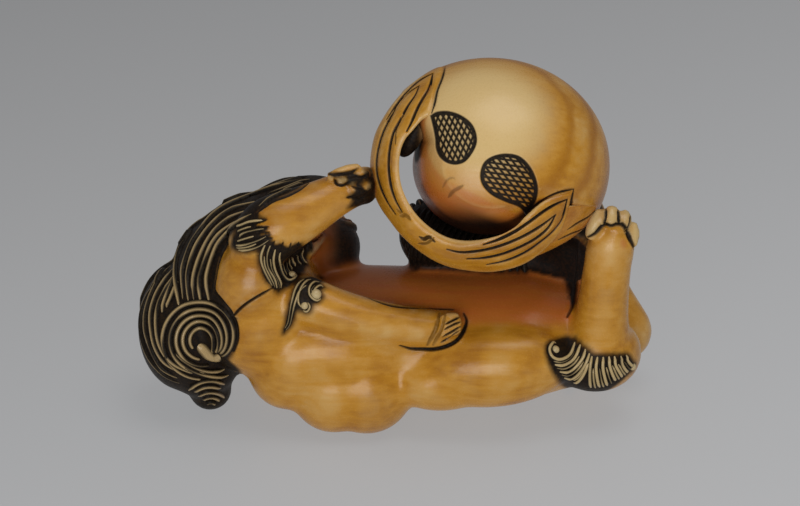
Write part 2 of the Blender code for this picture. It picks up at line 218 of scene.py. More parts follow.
def remap(tree, value, low, high, to_low=0.0, to_high=1.0):
    made = add_node(tree, "ShaderNodeMapRange", {"interpolation_type": "SMOOTHSTEP"}, Value=value)
    for index, number in enumerate((low, high, to_low, to_high), 1):
        made.inputs[index].default_value = number
    return made.outputs[0]


def math_node(tree, operation, first, second):
    made = tree.nodes.new("ShaderNodeMath")
    made.operation = operation
    for value, socket in ((first, made.inputs[0]), (second, made.inputs[1])):
        if isinstance(value, bpy.types.NodeSocket):
            tree.links.new(value, socket)
        else:
            socket.default_value = value
    return made.outputs[0]


CLOUD_SCALE = 0.16                  # waves of colour for each millimetre
GRAIN_SCALE = (0.12, 1.4, 1.4)      # drawn out along the tusk
SPECK_SCALE = 3.5
GRAIN_SHARE = 0.32                  # of the mottling; the clouds make up the rest
IVORY_IOR = 1.54
IVORY_GLOSS, INK_GLOSS = 0.33, 0.1
BAND_WIDTH = 1.6


def ivory(name, tone=0.5, hollow_darkening=1.0, worn=CREAM, bands_and_sheen=False, roughness=0.25):
    """Ivory with clouds and grain; it reads recess, stain and shade, wear, pale and ink from the mesh, and
    darkens hollows for stain and painted shade.
    """
    material = bpy.data.materials.new(name)
    material.use_nodes = True
    tree = material.node_tree
    surface = tree.nodes["Principled BSDF"]
    place = add_node(tree, "ShaderNodeTexCoord").outputs["Object"]
    in_mm = add_node(
        tree, "ShaderNodeVectorMath", {"operation": "SCALE"}, Vector=place, Scale=1 / MILLIMETRE
    ).outputs[0]
    along = add_node(tree, "ShaderNodeMapping", None, Vector=in_mm, Scale=GRAIN_SCALE).outputs[0]

    def noise(at, scale, detail, rough):
        return add_node(
            tree, "ShaderNodeTexNoise", None, Vector=at, Scale=scale, Detail=detail, Roughness=rough
        ).outputs[0]

    clouds = noise(in_mm, CLOUD_SCALE, 3.0, 0.55)
    grain = noise(along, 1.0, 4.0, 0.6)
    specks = noise(in_mm, SPECK_SCALE, 3.0, 0.6)
    cloud = math_node(tree, "MULTIPLY_ADD", grain, GRAIN_SHARE)
    tree.links.new(math_node(tree, "MULTIPLY", clouds, 1 - GRAIN_SHARE), cloud.node.inputs[2])
    colour = blend(tree, remap(tree, cloud, tone - 0.15, tone + 0.1), OCHRE, GOLD)
    colour = blend(tree, remap(tree, cloud, tone + 0.02, tone + 0.3, 0.0, 0.45), colour, CREAM)
    if bands_and_sheen:
        axis = add_node(tree, "ShaderNodeVectorMath", {"operation": "DISTANCE"}, Vector=in_mm)
        axis.inputs[1].default_value = tuple(BALL_CENTRE + FRONT[2] * 9 + FRONT[1] * 5 - FRONT[0] * 1)
        wobble = math_node(tree, "MULTIPLY_ADD", clouds, 2 * BAND_WIDTH)
        tree.links.new(axis.outputs[1], wobble.node.inputs[2])
        band = math_node(tree, "PINGPONG", wobble, BAND_WIDTH)
        # Cream towards the ball's upper front: the pale heart of the growth rings, and a painted highlight
        # where the overhead light falls
        colour = blend(tree, remap(tree, wobble, 6.0, 11.0, 0.9, 0.0), colour, CREAM)
        outer = remap(tree, wobble, 8.5, 12.5, 0.0, 0.85)
        ring = math_node(tree, "MULTIPLY", remap(tree, band, 0.5, BAND_WIDTH), outer)
        colour = blend(tree, ring, colour, OCHRE)
    # Hollows darken to ochre, red-brown and near-black umber: partly the stain that stays in them, partly
    # painted shade where the light doesn't reach
    recess = attribute(tree, "recess")
    colour = blend(tree, remap(tree, recess, 0.08, 0.5, 0.0, 0.6 * hollow_darkening), colour, OCHRE)
    hollow = remap(tree, recess, 0.35, 0.8, 0.0, 0.8 * hollow_darkening)
    reddened = math_node(tree, "MAXIMUM", hollow, attribute(tree, "stain_and_shade"))
    streaks = remap(tree, grain, 0.35, 0.62, 0.78, 1.0)
    colour = blend(tree, math_node(tree, "MULTIPLY", reddened, streaks), colour, RED_BROWN)
    colour = blend(tree, remap(tree, recess, 0.5, 0.98, 0.0, 0.95 * hollow_darkening), colour, UMBER_STAIN_AND_SHADE)
    colour = blend(tree, math_node(tree, "MULTIPLY", attribute(tree, "wear"), 0.5), colour, worn)
    colour = blend(tree, attribute(tree, "pale"), colour, PALE)
    patchy = remap(tree, specks, 0.25, 0.7, 0.965, 1.0)
    inked = math_node(tree, "MULTIPLY", attribute(tree, "ink"), patchy)
    colour = blend(tree, inked, colour, INK)
    tree.links.new(colour, surface.inputs["Base Color"])
    rough = math_node(tree, "MULTIPLY_ADD", inked, 0.22)
    polish = remap(tree, specks, 0.2, 0.8, roughness - 0.04, roughness + 0.05)
    tree.links.new(polish, rough.node.inputs[2])
    tree.links.new(rough, surface.inputs["Roughness"])
    surface.inputs["IOR"].default_value = IVORY_IOR
    gloss = remap(tree, inked, 0.0, 1.0, IVORY_GLOSS, INK_GLOSS)
    tree.links.new(gloss, surface.inputs["Specular IOR Level"])
    height = math_node(tree, "MULTIPLY_ADD", grain, 0.6)
    tree.links.new(math_node(tree, "MULTIPLY", specks, 0.4), height.node.inputs[2])
    bump = add_node(tree, "ShaderNodeBump", None, Height=height, Strength=0.12, Distance=0.0002)
    tree.links.new(bump.outputs[0], surface.inputs["Normal"])
    return material


def torso_forms():
    """Belly-up tube, deeper than it is tall, with the chest at one end."""
    middle, spread = 2.0, 17.6 / 14.5
    stations = [(-13.2, 8.8, 5.4), (-6.0, 8.4, 7.25), (4.0, 8.5, 7.15), (13.0, 8.7, 7.1), (19.5, 8.7, 5.6)]
    layout = smooth_path(stations)
    path = [seen(p[0], p[1], middle) for p in layout]
    points, faces, _ = bar(path, [p[2] for p in layout], sides=36)
    pieces = [mesh_object("torso", points, faces)]
    for end, station in ((path[0], stations[0]), (path[-1], stations[-1])):
        pieces.append(lump(end, [station[2]] * 3))
    centre = path[0].y
    for piece in pieces:
        for vertex in piece.data.vertices:
            vertex.co.y = centre + (vertex.co.y - centre) * spread
    return pieces


def chest_forms():
    """Shoulder mass with the low humps of its muscles."""
    return [
        lump(seen(-14.3, 11.6, -0.7), (7.0, 7.6, 7.6)),
        lump(seen(-6.8, 7.4, -2.5), (10.2, 6.0, 6.0), (0, 4, 0)),
        lump(seen(-10.5, 6.9, -2.4), (5.4, 6.2, 6.4), (0, 20, 0)),
        lump(seen(-11.0, 5.2, -3.6), (4.6, 4.4, 4.9), (0, 30, 0)),
        lump(seen(-2.9, 3.2, -3.6), (5.3, 5.3, 5.4)),
        lump(seen(-6.4, 3.2, -3.9), (5.0, 5.0, 5.3)),
        lump(seen(-15.2, 14.0, -4.6), (3.9, 3.9, 4.9), (0, 12, 0)),
        lump(seen(-9.9, 7.45, 5.5), (6.6, 5.6, 5.8)),
        lump(seen(-17.0, 9.4, 5.5), (5.0, 5.2, 4.7)),
    ]


def foreleg_forms():
    """One foreleg reaches up to the ribbon, one lies along each flank."""
    reaching = [(-14.2, 18.6, -4.6, 3.3), (-12.6, 20.0, -4.9, 3.5), (-9.8, 21.4, -4.4, 3.0),
                (-6.4, 23.2, -3.4, 2.35), (-4.2, 24.3, -2.8, 2.1)]
    resting = [(-9.6, 12.4, -5.2, 2.7), (-4.7, 10.7, -5.6, 2.45), (0.7, 9.7, -5.3, 2.15),
               (5.2, 9.25, -5.1, 1.95)]
    far = [(-9.4, 12.8, 9.0, 2.3), (-4.6, 12.1, 9.7, 2.1), (0.6, 11.7, 9.8, 1.9), (4.2, 11.4, 9.6, 1.75)]
    return [*limb(reaching), *limb(resting), *limb(far), lump(seen(-2.9, 24.5, -2.4), (1.5, 1.6, 2.3))]


def hind_leg_forms():
    """Folded thighs and hocks, and the two feet that stand up and press on the ball."""
    foot = [(22.0, 7.8, -2.4, 3.6), (22.3, 11.4, -2.9, 2.85), (22.7, 15.6, -3.2, 2.6),
            (23.1, 18.4, -3.1, 2.6), (23.4, 19.5, -3.0, 2.2)]
    far_foot = [(25.05, 8.8, 6.4, 3.35), (22.7, 14.2, 8.4, 2.7), (21.4, 19.8, 9.0, 2.45),
                (20.0, 23.0, 8.6, 2.4)]
    return [
        lump(seen(10.4, 5.5, -4.6), (9.1, 4.7, 4.75), (0, -4, 0)),
        lump(seen(5.0, 4.0, -4.4), (6.0, 4.2, 3.5)),
        lump(seen(21.7, 6.7, -1.6), (5.1, 4.9, 4.25)),
        *limb(foot),
        lump(seen(13.5, 9.2, 6.6), (8.6, 4.6, 5.2)),
        lump(seen(18.0, 7.95, 7.0), (6.6, 5.2, 5.6)),
        *limb(far_foot),
    ]


def head_forms():
    """Head turned away from the shown side, its muzzle resting on the chest."""
    return [
        lump(seen(-13.2, 16.9, 5.6), (6.4, 6.2, 6.6)),
        lump(seen(-7.9, 18.0, 7.2), (4.4, 4.4, 3.5), (0, 0, 28)),
        lump(seen(-8.4, 15.4, 7.0), (3.9, 3.8, 2.2), (0, 0, 28)),
        lump(seen(-11.2, 16.8, 10.0), (3.6, 2.6, 3.6)),
    ]


def mane_forms():
    """Mass that the strands of the mane are cut into."""
    return [
        lump(seen(-22.6, 9.4, 1.4), (5.1, 7.2, 7.0)),
        lump(seen(-18.9, 14.9, 1.8), (4.8, 7.2, 6.1)),
        lump(seen(-15.0, 19.0, 2.4), (5.9, 6.6, 4.1)),
        lump(seen(-10.7, 22.1, 2.4), (6.2, 4.4, 3.1), (0, -17, 0)),
        lump(seen(-20.7, 5.6, 1.2), (4.0, 5.5, 3.6)),
        lump(seen(-19.95, 2.5, 0.8), (2.4, 3.0, 2.15)),
    ]


def tail_forms():
    """Bushy tail drawn up over the belly, where it carries the ball."""
    return [
        lump(seen(4.1, 19.3, 5.6), (3.6, 3.6, 3.9)),
        lump(seen(9.5, 17.9, 6.0), (8.0, 3.8, 3.9)),
        lump(seen(16.0, 15.4, 6.4), (6.0, 4.2, 4.6)),
    ]


forms = {
    "torso": torso_forms(),
    "chest": chest_forms(),
    "forelegs": foreleg_forms(),
    "hind_legs": hind_leg_forms(),
    "head": head_forms(),
    "mane": mane_forms(),
    "tail": tail_forms(),
}
form_trees = {name: tree_of(*pieces) for name, pieces in forms.items()}
soft_body = melted("body", [piece for pieces in forms.values() for piece in pieces], ROUGH_VOXEL, ROUNDING)
soft_skin = tree_of(soft_body)


# Toes and claws
# Each foot ends in four toes, cut as small rounded pads of the same ivory, with the
# lines between them cut in and inked.
FINE_VOXEL = 0.31
PAD_ROUNDING = 1


def toe(start, end, radius, depth_share=0.9):
    """Toe from its root to its tip, each an (across, up, depth) place."""
    root, tip = seen(*start), seen(*end)
    path = smooth_path([root, (root + tip) / 2, tip], 4)
    count = len(path) + 1
    radii = [radius * (0.72 + 0.28 * math.sin(math.pi * i / count)) for i in range(1, count)]
    points, faces, _ = bar(path, radii, [FRONT[2]] * len(path), depth_share, 16)
    return [
        mesh_object("toe", points, faces),
        lump(path[0], (radii[0], radii[0] * depth_share, radii[0])),
        lump(path[-1], (radii[-1], radii[-1] * depth_share, radii[-1])),
    ]


def view_axes(azimuth, elevation):
    """Right, up and towards the viewer, for someone who walks round the carving."""
    a, e = math.radians(azimuth), math.radians(elevation)
    right = Vector((math.cos(a), math.sin(a), 0))
    back = Vector((math.sin(a) * math.cos(e), -math.cos(a) * math.cos(e), math.sin(e)))
    return right, back.cross(right), back


FRONT = view_axes(0, 25)
BEHIND = view_axes(180, 25)
HEAD_END = view_axes(270, 20)
EYE_DISTANCE = 200      # well outside the carving


def draped(skin, path, view=FRONT, step=0.25, jump=1.2):
    """The path's (across, up) points laid on the skin as this viewer sees it, and its normals.

    Where the path crosses from one form to another behind it, the longest stretch is kept.
    """
    right, up, back = view
    fine = []
    for here, there in zip(path, path[1:]):
        here, there = Vector(here[:2]), Vector(there[:2])
        count = max(1, round((there - here).length / step))
        fine += [here.lerp(there, i / count) for i in range(count)]
    fine.append(Vector(path[-1][:2]))
    runs = [([], [])]
    for across, height in fine:
        start = right * across + up * height + back * EYE_DISTANCE - UNDER
        place, out, _, _ = skin.ray_cast(start, -back)
        if place is None:
            continue
        places, outs = runs[-1]
        if places and (place - places[-1]).length > jump:
            runs.append(([], []))
            places, outs = runs[-1]
        places.append(place)
        outs.append(out)
    return max(runs, key=lambda run: len(run[0]))


toes = [
    *toe((20.9, 19.4, -4.4), (21.7, 21.3, -3.9), 0.92),
    *toe((22.9, 20.6, -4.9), (23.0, 21.7, -4.0), 0.88),
    *toe((24.3, 20.3, -4.9), (24.4, 21.3, -3.9), 0.8),
    *toe((25.3, 18.5, -4.2), (25.3, 20.1, -3.4), 0.76),
    *toe((5.3, 10.3, -6.4), (6.6, 10.6, -6.1), 0.6),
    *toe((5.4, 9.6, -6.9), (6.9, 9.95, -6.6), 0.6),
    *toe((5.3, 8.85, -7.0), (6.8, 9.2, -6.7), 0.6),
    *toe((5.0, 8.1, -6.6), (6.3, 8.35, -6.3), 0.62),
    *toe((4.2, 12.2, 10.3), (6.0, 12.2, 10.0), 0.62),
    *toe((4.4, 11.5, 10.7), (6.3, 11.5, 10.4), 0.62),
    *toe((4.4, 10.8, 10.8), (6.2, 10.8, 10.5), 0.62),
    *toe((4.2, 10.1, 10.5), (5.9, 10.1, 10.3), 0.6),
    *toe((-6.4, 25.4, -4.2), (-3.9, 26.2, -3.4), 0.72),
    *toe((-4.6, 25.0, -4.6), (-3.0, 25.6, -3.9), 0.7),
    *toe((-4.0, 24.0, -4.6), (-2.6, 24.4, -4.1), 0.7),
    *toe((-4.6, 22.9, -4.2), (-3.2, 23.3, -4.0), 0.7),
    *toe((18.4, 23.2, 6.6), (18.2, 24.6, 7.2), 0.85),
    *toe((19.4, 24.0, 6.6), (19.3, 25.0, 7.6), 0.85),
    *toe((20.6, 24.0, 6.6), (20.6, 25.0, 7.6), 0.85),
    *toe((21.8, 23.2, 6.8), (21.9, 24.2, 7.6), 0.85),
]


# The face
# The head looks away from the shown side. Brow, eyes, nose, cheeks and ears stand up
# from the skull as small rounded forms of the same ivory.
FACE = view_axes(142, 20)
FACE_MIDDLE = 12.1      # across, as the face looks at you


def face_spot(across, up):
    """Place and normal on the head at this spot beside the middle of the face."""
    places, outs = draped(soft_skin, [(FACE_MIDDLE + across, up)], FACE)
    return places[0], outs[0]


def face_ball(across, up, radius, sink=0.0):
    place, out = face_spot(across, up)
    return lump(place - out * sink, (radius, radius, radius), segments=20)


def face_ridge(path, radius):
    """Rounded ridge along the face, thin at both ends."""
    spots = [(FACE_MIDDLE + p[0], p[1]) for p in path]
    places, outs = draped(soft_skin, smooth_path(spots, 4), FACE, jump=2.5)
    last = len(places) - 1
    radii = [radius * (0.4 + 0.6 * math.sin(math.pi * i / last)) for i in range(last + 1)]
    points, faces, _ = bar(places, radii, outs)
    return mesh_object("ridge", points, faces)


# Across, up, radius and sink of the eyes, nostrils, lips and cheeks on one side
FACE_BALLS = [(1.9, 18.5, 1.05, 0.25), (0.85, 16.7, 0.68, 0.1), (1.1, 15.8, 1.15, 0.5),
              (2.7, 15.9, 0.85, 0.35)]
FACE_RIDGES = [
    ([(0.6, 19.0), (1.2, 19.8), (2.2, 20.0), (3.1, 19.4), (3.4, 18.6)], 0.6),
    ([(3.6, 18.4), (4.1, 19.4), (4.1, 20.4), (3.4, 21.0)], 0.85),
    ([(3.2, 17.4), (3.5, 16.3), (3.1, 15.2), (2.3, 14.5)], 0.5),
]


def mirrored(path, side):
    """The path as it runs on this side of the face."""
    return [(side * across, up) for across, up in path]


def face_forms():
    """Broad nose, bulging eyes under curled brows, bared teeth and folded ears."""
    pieces = [
        face_ball(0, 17.0, 0.85, 0.2),
        face_ridge([(-1.5, 14.3), (-0.8, 13.9), (0, 13.8), (0.8, 13.9), (1.5, 14.3)], 0.6),
        face_ridge([(-0.9, 19.6), (0, 19.2), (0.9, 19.6)], 0.5),
    ]
    for side in (-1, 1):
        pieces += [face_ball(side * across, up, radius, sink) for across, up, radius, sink in FACE_BALLS]
        pieces += [face_ridge(mirrored(path, side), radius) for path, radius in FACE_RIDGES]
        pieces.append(face_ball(side * 1.45, 14.75, 0.4))
    pieces += [face_ball(across, 14.85, 0.32) for across in (-0.9, -0.3, 0.3, 0.9)]
    return pieces


body = melted("body", [soft_body, *toes, *face_forms()], FINE_VOXEL, PAD_ROUNDING)
body_skin = tree_of(body)


# Engraved lines
# Creases, the edges of the legs and the gaps between the toes are cut with a graver and
# rubbed with black, which stays in the cuts when the ivory is polished.
CUT_REACH = 0.17        # skin beside a line that is divided with it, twice as far in the first round
SHORT_EDGE = 0.09       # edges under this aren't divided


def engraved(piece, lines, passes=2):
    """Cut lines of (places, half width, depth, ink) into a piece, and note where the ink stays."""
    shape = bmesh.new()
    shape.from_mesh(piece.data)
    tree = KDTree(sum(len(places) for places, *_ in lines))
    strokes = []
    for places, half, depth, ink in lines:
        last = max(1, len(places) - 1)
        for i, place in enumerate(places):
            tree.insert(place, len(strokes))
            press = 0.45 + 0.55 * min(1.0, 5 * i / last, 5 * (last - i) / last)
            strokes.append((half * press, depth * press, ink))
    tree.balance()
    for left in range(passes, 0, -1):
        near = set()
        for vertex in shape.verts:
            _, index, distance = tree.find(vertex.co)
            if distance < strokes[index][0] + CUT_REACH * left:
                near.add(vertex)
        edges = [e for e in shape.edges if set(e.verts) <= near and e.calc_length() > SHORT_EDGE]
        bmesh.ops.subdivide_edges(shape, edges=edges, cuts=1, use_grid_fill=True)
    shape.normal_update()
    ink = shape.verts.layers.float.get("ink") or shape.verts.layers.float.new("ink")
    moves = []
    for vertex in shape.verts:
        _, index, distance = tree.find(vertex.co)
        half, depth, strength = strokes[index]
        if distance < half * 1.3:
            share = max(0.0, 1 - distance / half)
            moves.append((vertex, vertex.normal * (depth * share ** 0.8)))
            stays = min(1.0, max(0.0, (1.25 - distance / half) / 0.55))
            vertex[ink] = max(vertex[ink], strength * stays)
    for vertex, move in moves:
        vertex.co -= move
    bmesh.ops.triangulate(shape, faces=[f for f in shape.faces if len(f.verts) > 4])
    shape.to_mesh(piece.data)
    shape.free()


def line_on(skin, path, half=0.16, depth=0.16, ink=1.0, view=FRONT, steps=4):
    """Line to engrave: a smooth path of (across, up) points laid on the skin."""
    places, _ = draped(skin, smooth_path(path, steps), view, step=0.08)
    return places, half, depth, ink


TOE_LINE = [(20.3, 18.9), (21.3, 19.4), (22.2, 20.3), (22.9, 20.1), (23.8, 20.4), (24.5, 19.8),
            (25.0, 18.7), (25.6, 17.5)]
BODY_CUTS = [
    ([(-12.6, 13.7), (-14.0, 12.9), (-15.3, 12.1), (-16.3, 11.3), (-17.3, 10.2)], 0.19, 0.22),
    ([(-16.2, 19.8), (-17.2, 18.9), (-17.9, 17.8), (-18.4, 16.6), (-18.7, 15.0), (-18.9, 13.4),
      (-18.0, 12.2), (-17.1, 11.0), (-16.6, 9.6), (-16.5, 8.2), (-16.9, 6.9)], 0.28, 0.24),
    ([(-8.2, 25.4), (-9.4, 24.3), (-11.0, 23.4), (-12.8, 22.7), (-14.2, 21.6)], 0.3, 0.24),
    ([(-7.6, 14.85), (-6.2, 14.45), (-4.7, 13.5), (-3.5, 12.9), (-1.7, 12.2), (0.1, 11.7), (2.7, 11.45),
      (5.0, 11.35), (6.4, 11.3)], 0.26, 0.24),
    ([(0.7, 7.5), (1.8, 7.15), (3.0, 7.1), (4.3, 7.1), (5.7, 7.45), (6.8, 8.1), (7.5, 9.1), (7.8, 10.1),
      (7.5, 10.9)], 0.24, 0.24),
    ([(4.9, 11.0), (4.5, 9.3), (3.6, 7.5)], 0.26, 0.16, 0.55),
    ([(5.5, 10.9), (5.1, 9.3), (4.2, 7.5)], 0.22, 0.16, 0.5),
    ([(5.5, 9.8), (6.5, 10.3), (7.4, 10.75)], 0.15, 0.22),
    ([(5.4, 9.2), (6.5, 9.8), (7.6, 10.2)], 0.15, 0.22),
    ([(5.2, 8.4), (6.4, 9.1), (7.4, 9.7)], 0.15, 0.22),
    ([(5.0, 7.8), (6.0, 8.4), (7.0, 9.1)], 0.13, 0.2),
    (TOE_LINE, 0.3, 0.26),
    ([(22.35, 22.0), (22.3, 21.1), (22.1, 20.3)], 0.2, 0.24),
    ([(23.7, 22.2), (23.7, 21.3), (23.7, 20.4)], 0.19, 0.24),
    ([(25.0, 21.4), (24.9, 20.6), (24.6, 19.6)], 0.19, 0.24),
    ([(20.0, 18.7), (20.05, 16.4), (19.7, 14.1), (19.2, 11.8), (18.6, 10.5)], 0.3, 0.2, 0.85),
    ([(-6.9, 25.55), (-5.7, 25.6), (-4.6, 25.8), (-3.6, 26.2)], 0.2, 0.2),
    ([(-6.2, 25.1), (-6.0, 24.6), (-5.4, 24.4), (-4.8, 24.7)], 0.16, 0.18),
    ([(-4.7, 25.4), (-3.9, 25.3), (-3.2, 25.3), (-2.6, 25.5)], 0.18, 0.2),
    ([(-4.4, 24.3), (-3.6, 24.0), (-2.8, 23.7)], 0.18, 0.2),
    ([(-4.9, 23.1), (-4.0, 23.2), (-3.0, 22.9)], 0.18, 0.2),
]
body_lines = [line_on(body_skin, *cut) for cut in BODY_CUTS]


def face_line(path, half, depth, ink=1.0):
    return line_on(body_skin, [(FACE_MIDDLE + p[0], p[1]) for p in path], half, depth, ink, FACE)


FACE_CUTS = [
    ([(1.8, 18.4), (1.9, 18.55), (2.0, 18.6)], 0.28, 0.1),
    ([(0.8, 18.2), (1.5, 17.6), (2.4, 17.5), (3.1, 18.0)], 0.16, 0.14, 0.8),
    ([(0.75, 16.5), (0.95, 16.6)], 0.26, 0.24),
    ([(0, 15.9), (0.6, 15.3), (1.5, 15.15), (2.4, 15.4), (3.0, 16.0)], 0.2, 0.22),
    ([(0.2, 14.4), (1.0, 14.4), (1.8, 14.6), (2.3, 15.1)], 0.16, 0.18),
    ([(2.3, 16.2), (2.7, 16.5), (3.1, 16.2), (3.0, 15.7), (2.6, 15.6), (2.5, 15.9)], 0.13, 0.14, 0.8),
    ([(3.7, 18.9), (3.95, 19.6), (3.7, 20.4)], 0.2, 0.2, 0.9),
    ([(4.4, 17.6), (4.3, 16.6), (3.9, 15.5), (3.2, 14.6)], 0.16, 0.16, 0.8),
]
for side in (-1, 1):
    ring = [(side * 1.9 + 0.62 * math.cos(a * 0.55), 18.5 + 0.62 * math.sin(a * 0.55)) for a in range(12)]
    body_lines.append(face_line(ring, 0.14, 0.1))
    body_lines += [face_line(mirrored(path, side), *cut) for path, *cut in FACE_CUTS]
    for step in range(5):
        start = side * (1.0 + 0.45 * step)
        body_lines.append(face_line([(start, 19.5), (start + side * 0.25, 20.3)], 0.1, 0.12, 0.9))


def from_behind(across, up, depth):
    """Where a viewer on the far side sees this place of the layout, across and up."""
    spot = seen(across, up, depth) + UNDER
    return spot.dot(BEHIND[0]), spot.dot(BEHIND[1])


FAR_TOE_GAPS = [(4.6, 6.2, 11.9), (4.7, 6.3, 11.2), (4.6, 6.1, 10.5)]      # start, end and up
FAR_LEG = [(-7.0, 12.5, 9.4, 2.2), (-3.5, 12.0, 9.8, 2.1), (0.6, 11.7, 9.8, 1.9), (3.6, 11.45, 9.6, 1.8)]
ELBOW_TICKS = [
    [(-14.5, 20.4), (-13.2, 20.8)],
    [(-14.6, 19.9), (-13.0, 20.1)],
    [(-14.4, 19.4), (-12.9, 19.5)],
    [(-14.0, 18.9), (-12.6, 18.9)],
    [(-12.7, 17.7), (-12.4, 18.6)],
    [(-11.7, 17.7), (-11.5, 18.5)],
    [(-10.9, 17.6), (-10.7, 18.4)],
    [(-10.1, 17.7), (-9.9, 18.5)],
    [(-9.4, 17.6), (-9.1, 18.4)],
]
for start, end, up in FAR_TOE_GAPS:
    gap = [from_behind(start, up, 10.4), from_behind(end, up, 10.2)]
    body_lines.append(line_on(body_skin, gap, 0.16, 0.2, 1.0, BEHIND))
body_lines += [line_on(body_skin, tick, 0.14, 0.12) for tick in ELBOW_TICKS]
for share in (-0.8, 0.8):
    edge = []
    for across, up, depth, radius in FAR_LEG:
        middle, height = from_behind(across, up, depth)
        edge.append((middle, height + share * radius))
    body_lines.append(line_on(body_skin, edge, 0.22, 0.2, 0.9, BEHIND))
engraved(body, body_lines)


def smooth_step(share):
    """0 to 1 with a soft start and end."""
    share = min(1.0, max(0.0, share))
    return share * share * (3 - 2 * share)


def point_values(mesh, name):
    found = mesh.attributes.get(name)
    values = np.zeros(len(mesh.vertices), np.float32)
    if found:
        found.data.foreach_get("value", values)
    return values


def set_point_values(mesh, name, values):
    found = mesh.attributes.get(name) or mesh.attributes.new(name, "FLOAT", "POINT")
    found.data.foreach_set("value", np.asarray(values, np.float32))


def softened(mesh, values, rounds):
    """Values averaged over neighbouring points."""
    count = len(mesh.vertices)
    edges = np.zeros(len(mesh.edges) * 2, np.int64)
    mesh.edges.foreach_get("vertices", edges)
    a, b = edges[0::2], edges[1::2]
    weight = np.bincount(a, minlength=count) + np.bincount(b, minlength=count) + 1
    for _ in range(rounds):
        total = values + np.bincount(a, values[b], count) + np.bincount(b, values[a], count)
        values = total / weight
    return values


def layout_of(mesh):
    """Across, up and depth of each point in the layout."""
    places = np.zeros(len(mesh.vertices) * 3)
    mesh.vertices.foreach_get("co", places)
    places = places.reshape(-1, 3) + np.array(UNDER)
    up = places[:, 2] * math.cos(VIEW_TILT) + places[:, 1] * math.sin(VIEW_TILT)
    return places[:, 0], up, places[:, 1]


def ramp(values, low, high):
    share = np.clip((values - low) / (high - low), 0, 1)
    return share * share * (3 - 2 * share)


def depth_inside(spots, loop):
    """How far inside the outline each spot lies, below zero outside it."""
    start, end = loop[:-1], loop[1:]
    along = end - start
    offset = spots[:, None, :] - start[None]
    share = np.clip((offset * along).sum(2) / np.maximum((along ** 2).sum(1), 1e-9), 0, 1)
    distance = np.linalg.norm(offset - share[..., None] * along, axis=2).min(1)
    crosses = (start[:, 1] > spots[:, 1:2]) != (end[:, 1] > spots[:, 1:2])
    with np.errstate(divide="ignore", invalid="ignore"):
        at = start[:, 0] + (spots[:, 1:2] - start[:, 1]) * along[:, 0] / along[:, 1]
    inside = (crosses & (spots[:, 0:1] < at)).sum(1) % 2 == 1
    return np.where(inside, distance, -distance)


def patch(mesh, skin, loop, soft=0.2):
    """How much each point that the viewer sees lies inside this outline, 0 to 1."""
    across, up, _ = layout_of(mesh)
    loop = np.array([tuple(p) for p in smooth_path([*loop, loop[0]], 4)])
    low, high = loop.min(0) - soft, loop.max(0) + soft
    share = np.zeros(len(mesh.vertices))
    near = np.nonzero((across > low[0]) & (across < high[0]) & (up > low[1]) & (up < high[1]))[0]
    depths = depth_inside(np.stack([across[near], up[near]], 1), loop)
    for i, deep in zip(near, depths):
        if deep > -soft and skin.ray_cast(mesh.vertices[i].co + FRONT[2] * 0.5, FRONT[2])[0] is None:
            share[i] = smooth_step((deep + soft) / (2 * soft))
    return share


# The belly's up-facing band is painted red-brown, as its stain and as painted shade from the ball
# above it; the muzzle and the mane's ground are dark, and the far leg under the ball and the top
# of the belly are darkened with black as painted shade
INKED_PATCHES = [
    [(-7.8, 26.4), (-8.2, 25.5), (-9.4, 24.4), (-11.0, 23.5), (-12.8, 22.8), (-14.1, 21.7),
     (-16.2, 19.9), (-17.2, 19.0), (-17.9, 17.9), (-18.4, 16.7), (-18.7, 15.0), (-18.8, 13.4),
     (-18.0, 12.3), (-17.2, 11.1), (-16.7, 9.7), (-16.5, 8.2), (-16.8, 6.9), (-17.4, 5.9), (-16.8, 5.3),
     (-16.3, 4.4), (-17.6, 2.6), (-17.9, -0.5), (-29.0, -0.5), (-30.0, 19.0), (-20.0, 26.0)],
    [(-17.2, 17.7), (-16.9, 19.2), (-15.8, 20.6), (-14.3, 21.7), (-13.8, 20.8), (-14.2, 20.2),
     (-13.3, 19.8), (-13.8, 19.2), (-12.9, 18.9), (-12.6, 18.2), (-11.8, 18.4), (-11.0, 18.0),
     (-10.2, 18.4), (-9.4, 18.2), (-9.2, 16.2), (-9.9, 14.5), (-11.6, 13.3), (-12.4, 13.3),
     (-13.5, 15.0), (-13.9, 16.6), (-13.6, 17.7), (-15.6, 17.5)],
    [(-7.5, 14.9), (-8.9, 14.9), (-10.2, 13.9), (-10.8, 12.2), (-11.3, 10.2), (-11.9, 8.7),
     (-11.1, 9.4), (-10.3, 11.0), (-9.3, 11.0), (-8.6, 11.6), (-7.9, 12.3), (-7.6, 13.4)],
    [(18.7, 8.6), (19.9, 7.7), (21.1, 6.7), (23.3, 6.7), (25.2, 6.6), (25.8, 5.2), (24.5, 3.6),
     (22.4, 2.2), (20.4, 2.1), (18.4, 2.8), (17.3, 3.9), (16.4, 5.4), (16.2, 7.0), (17.0, 8.1)],
    [(20.1, 16.6), (18.7, 16.2), (18.1, 15.2), (18.5, 14.0), (18.9, 12.5), (19.2, 11.2), (19.8, 13.5)],
    [(-4.9, 25.4), (-4.1, 25.8), (-2.2, 26.2), (-1.9, 22.4), (-3.4, 22.2), (-5.0, 22.0), (-4.3, 22.8),
     (-5.0, 23.2), (-4.2, 23.7), (-4.0, 24.4), (-5.6, 24.35), (-6.2, 25.0)],
    [(-7.0, 25.75), (-5.5, 25.85), (-4.4, 26.05), (-3.6, 26.3), (-3.6, 25.7), (-4.8, 25.3), (-6.2, 25.2)],
]
MOLE = [(24.0, 18.9), (24.5, 18.7), (24.6, 18.1), (24.2, 17.8), (23.9, 18.3)]
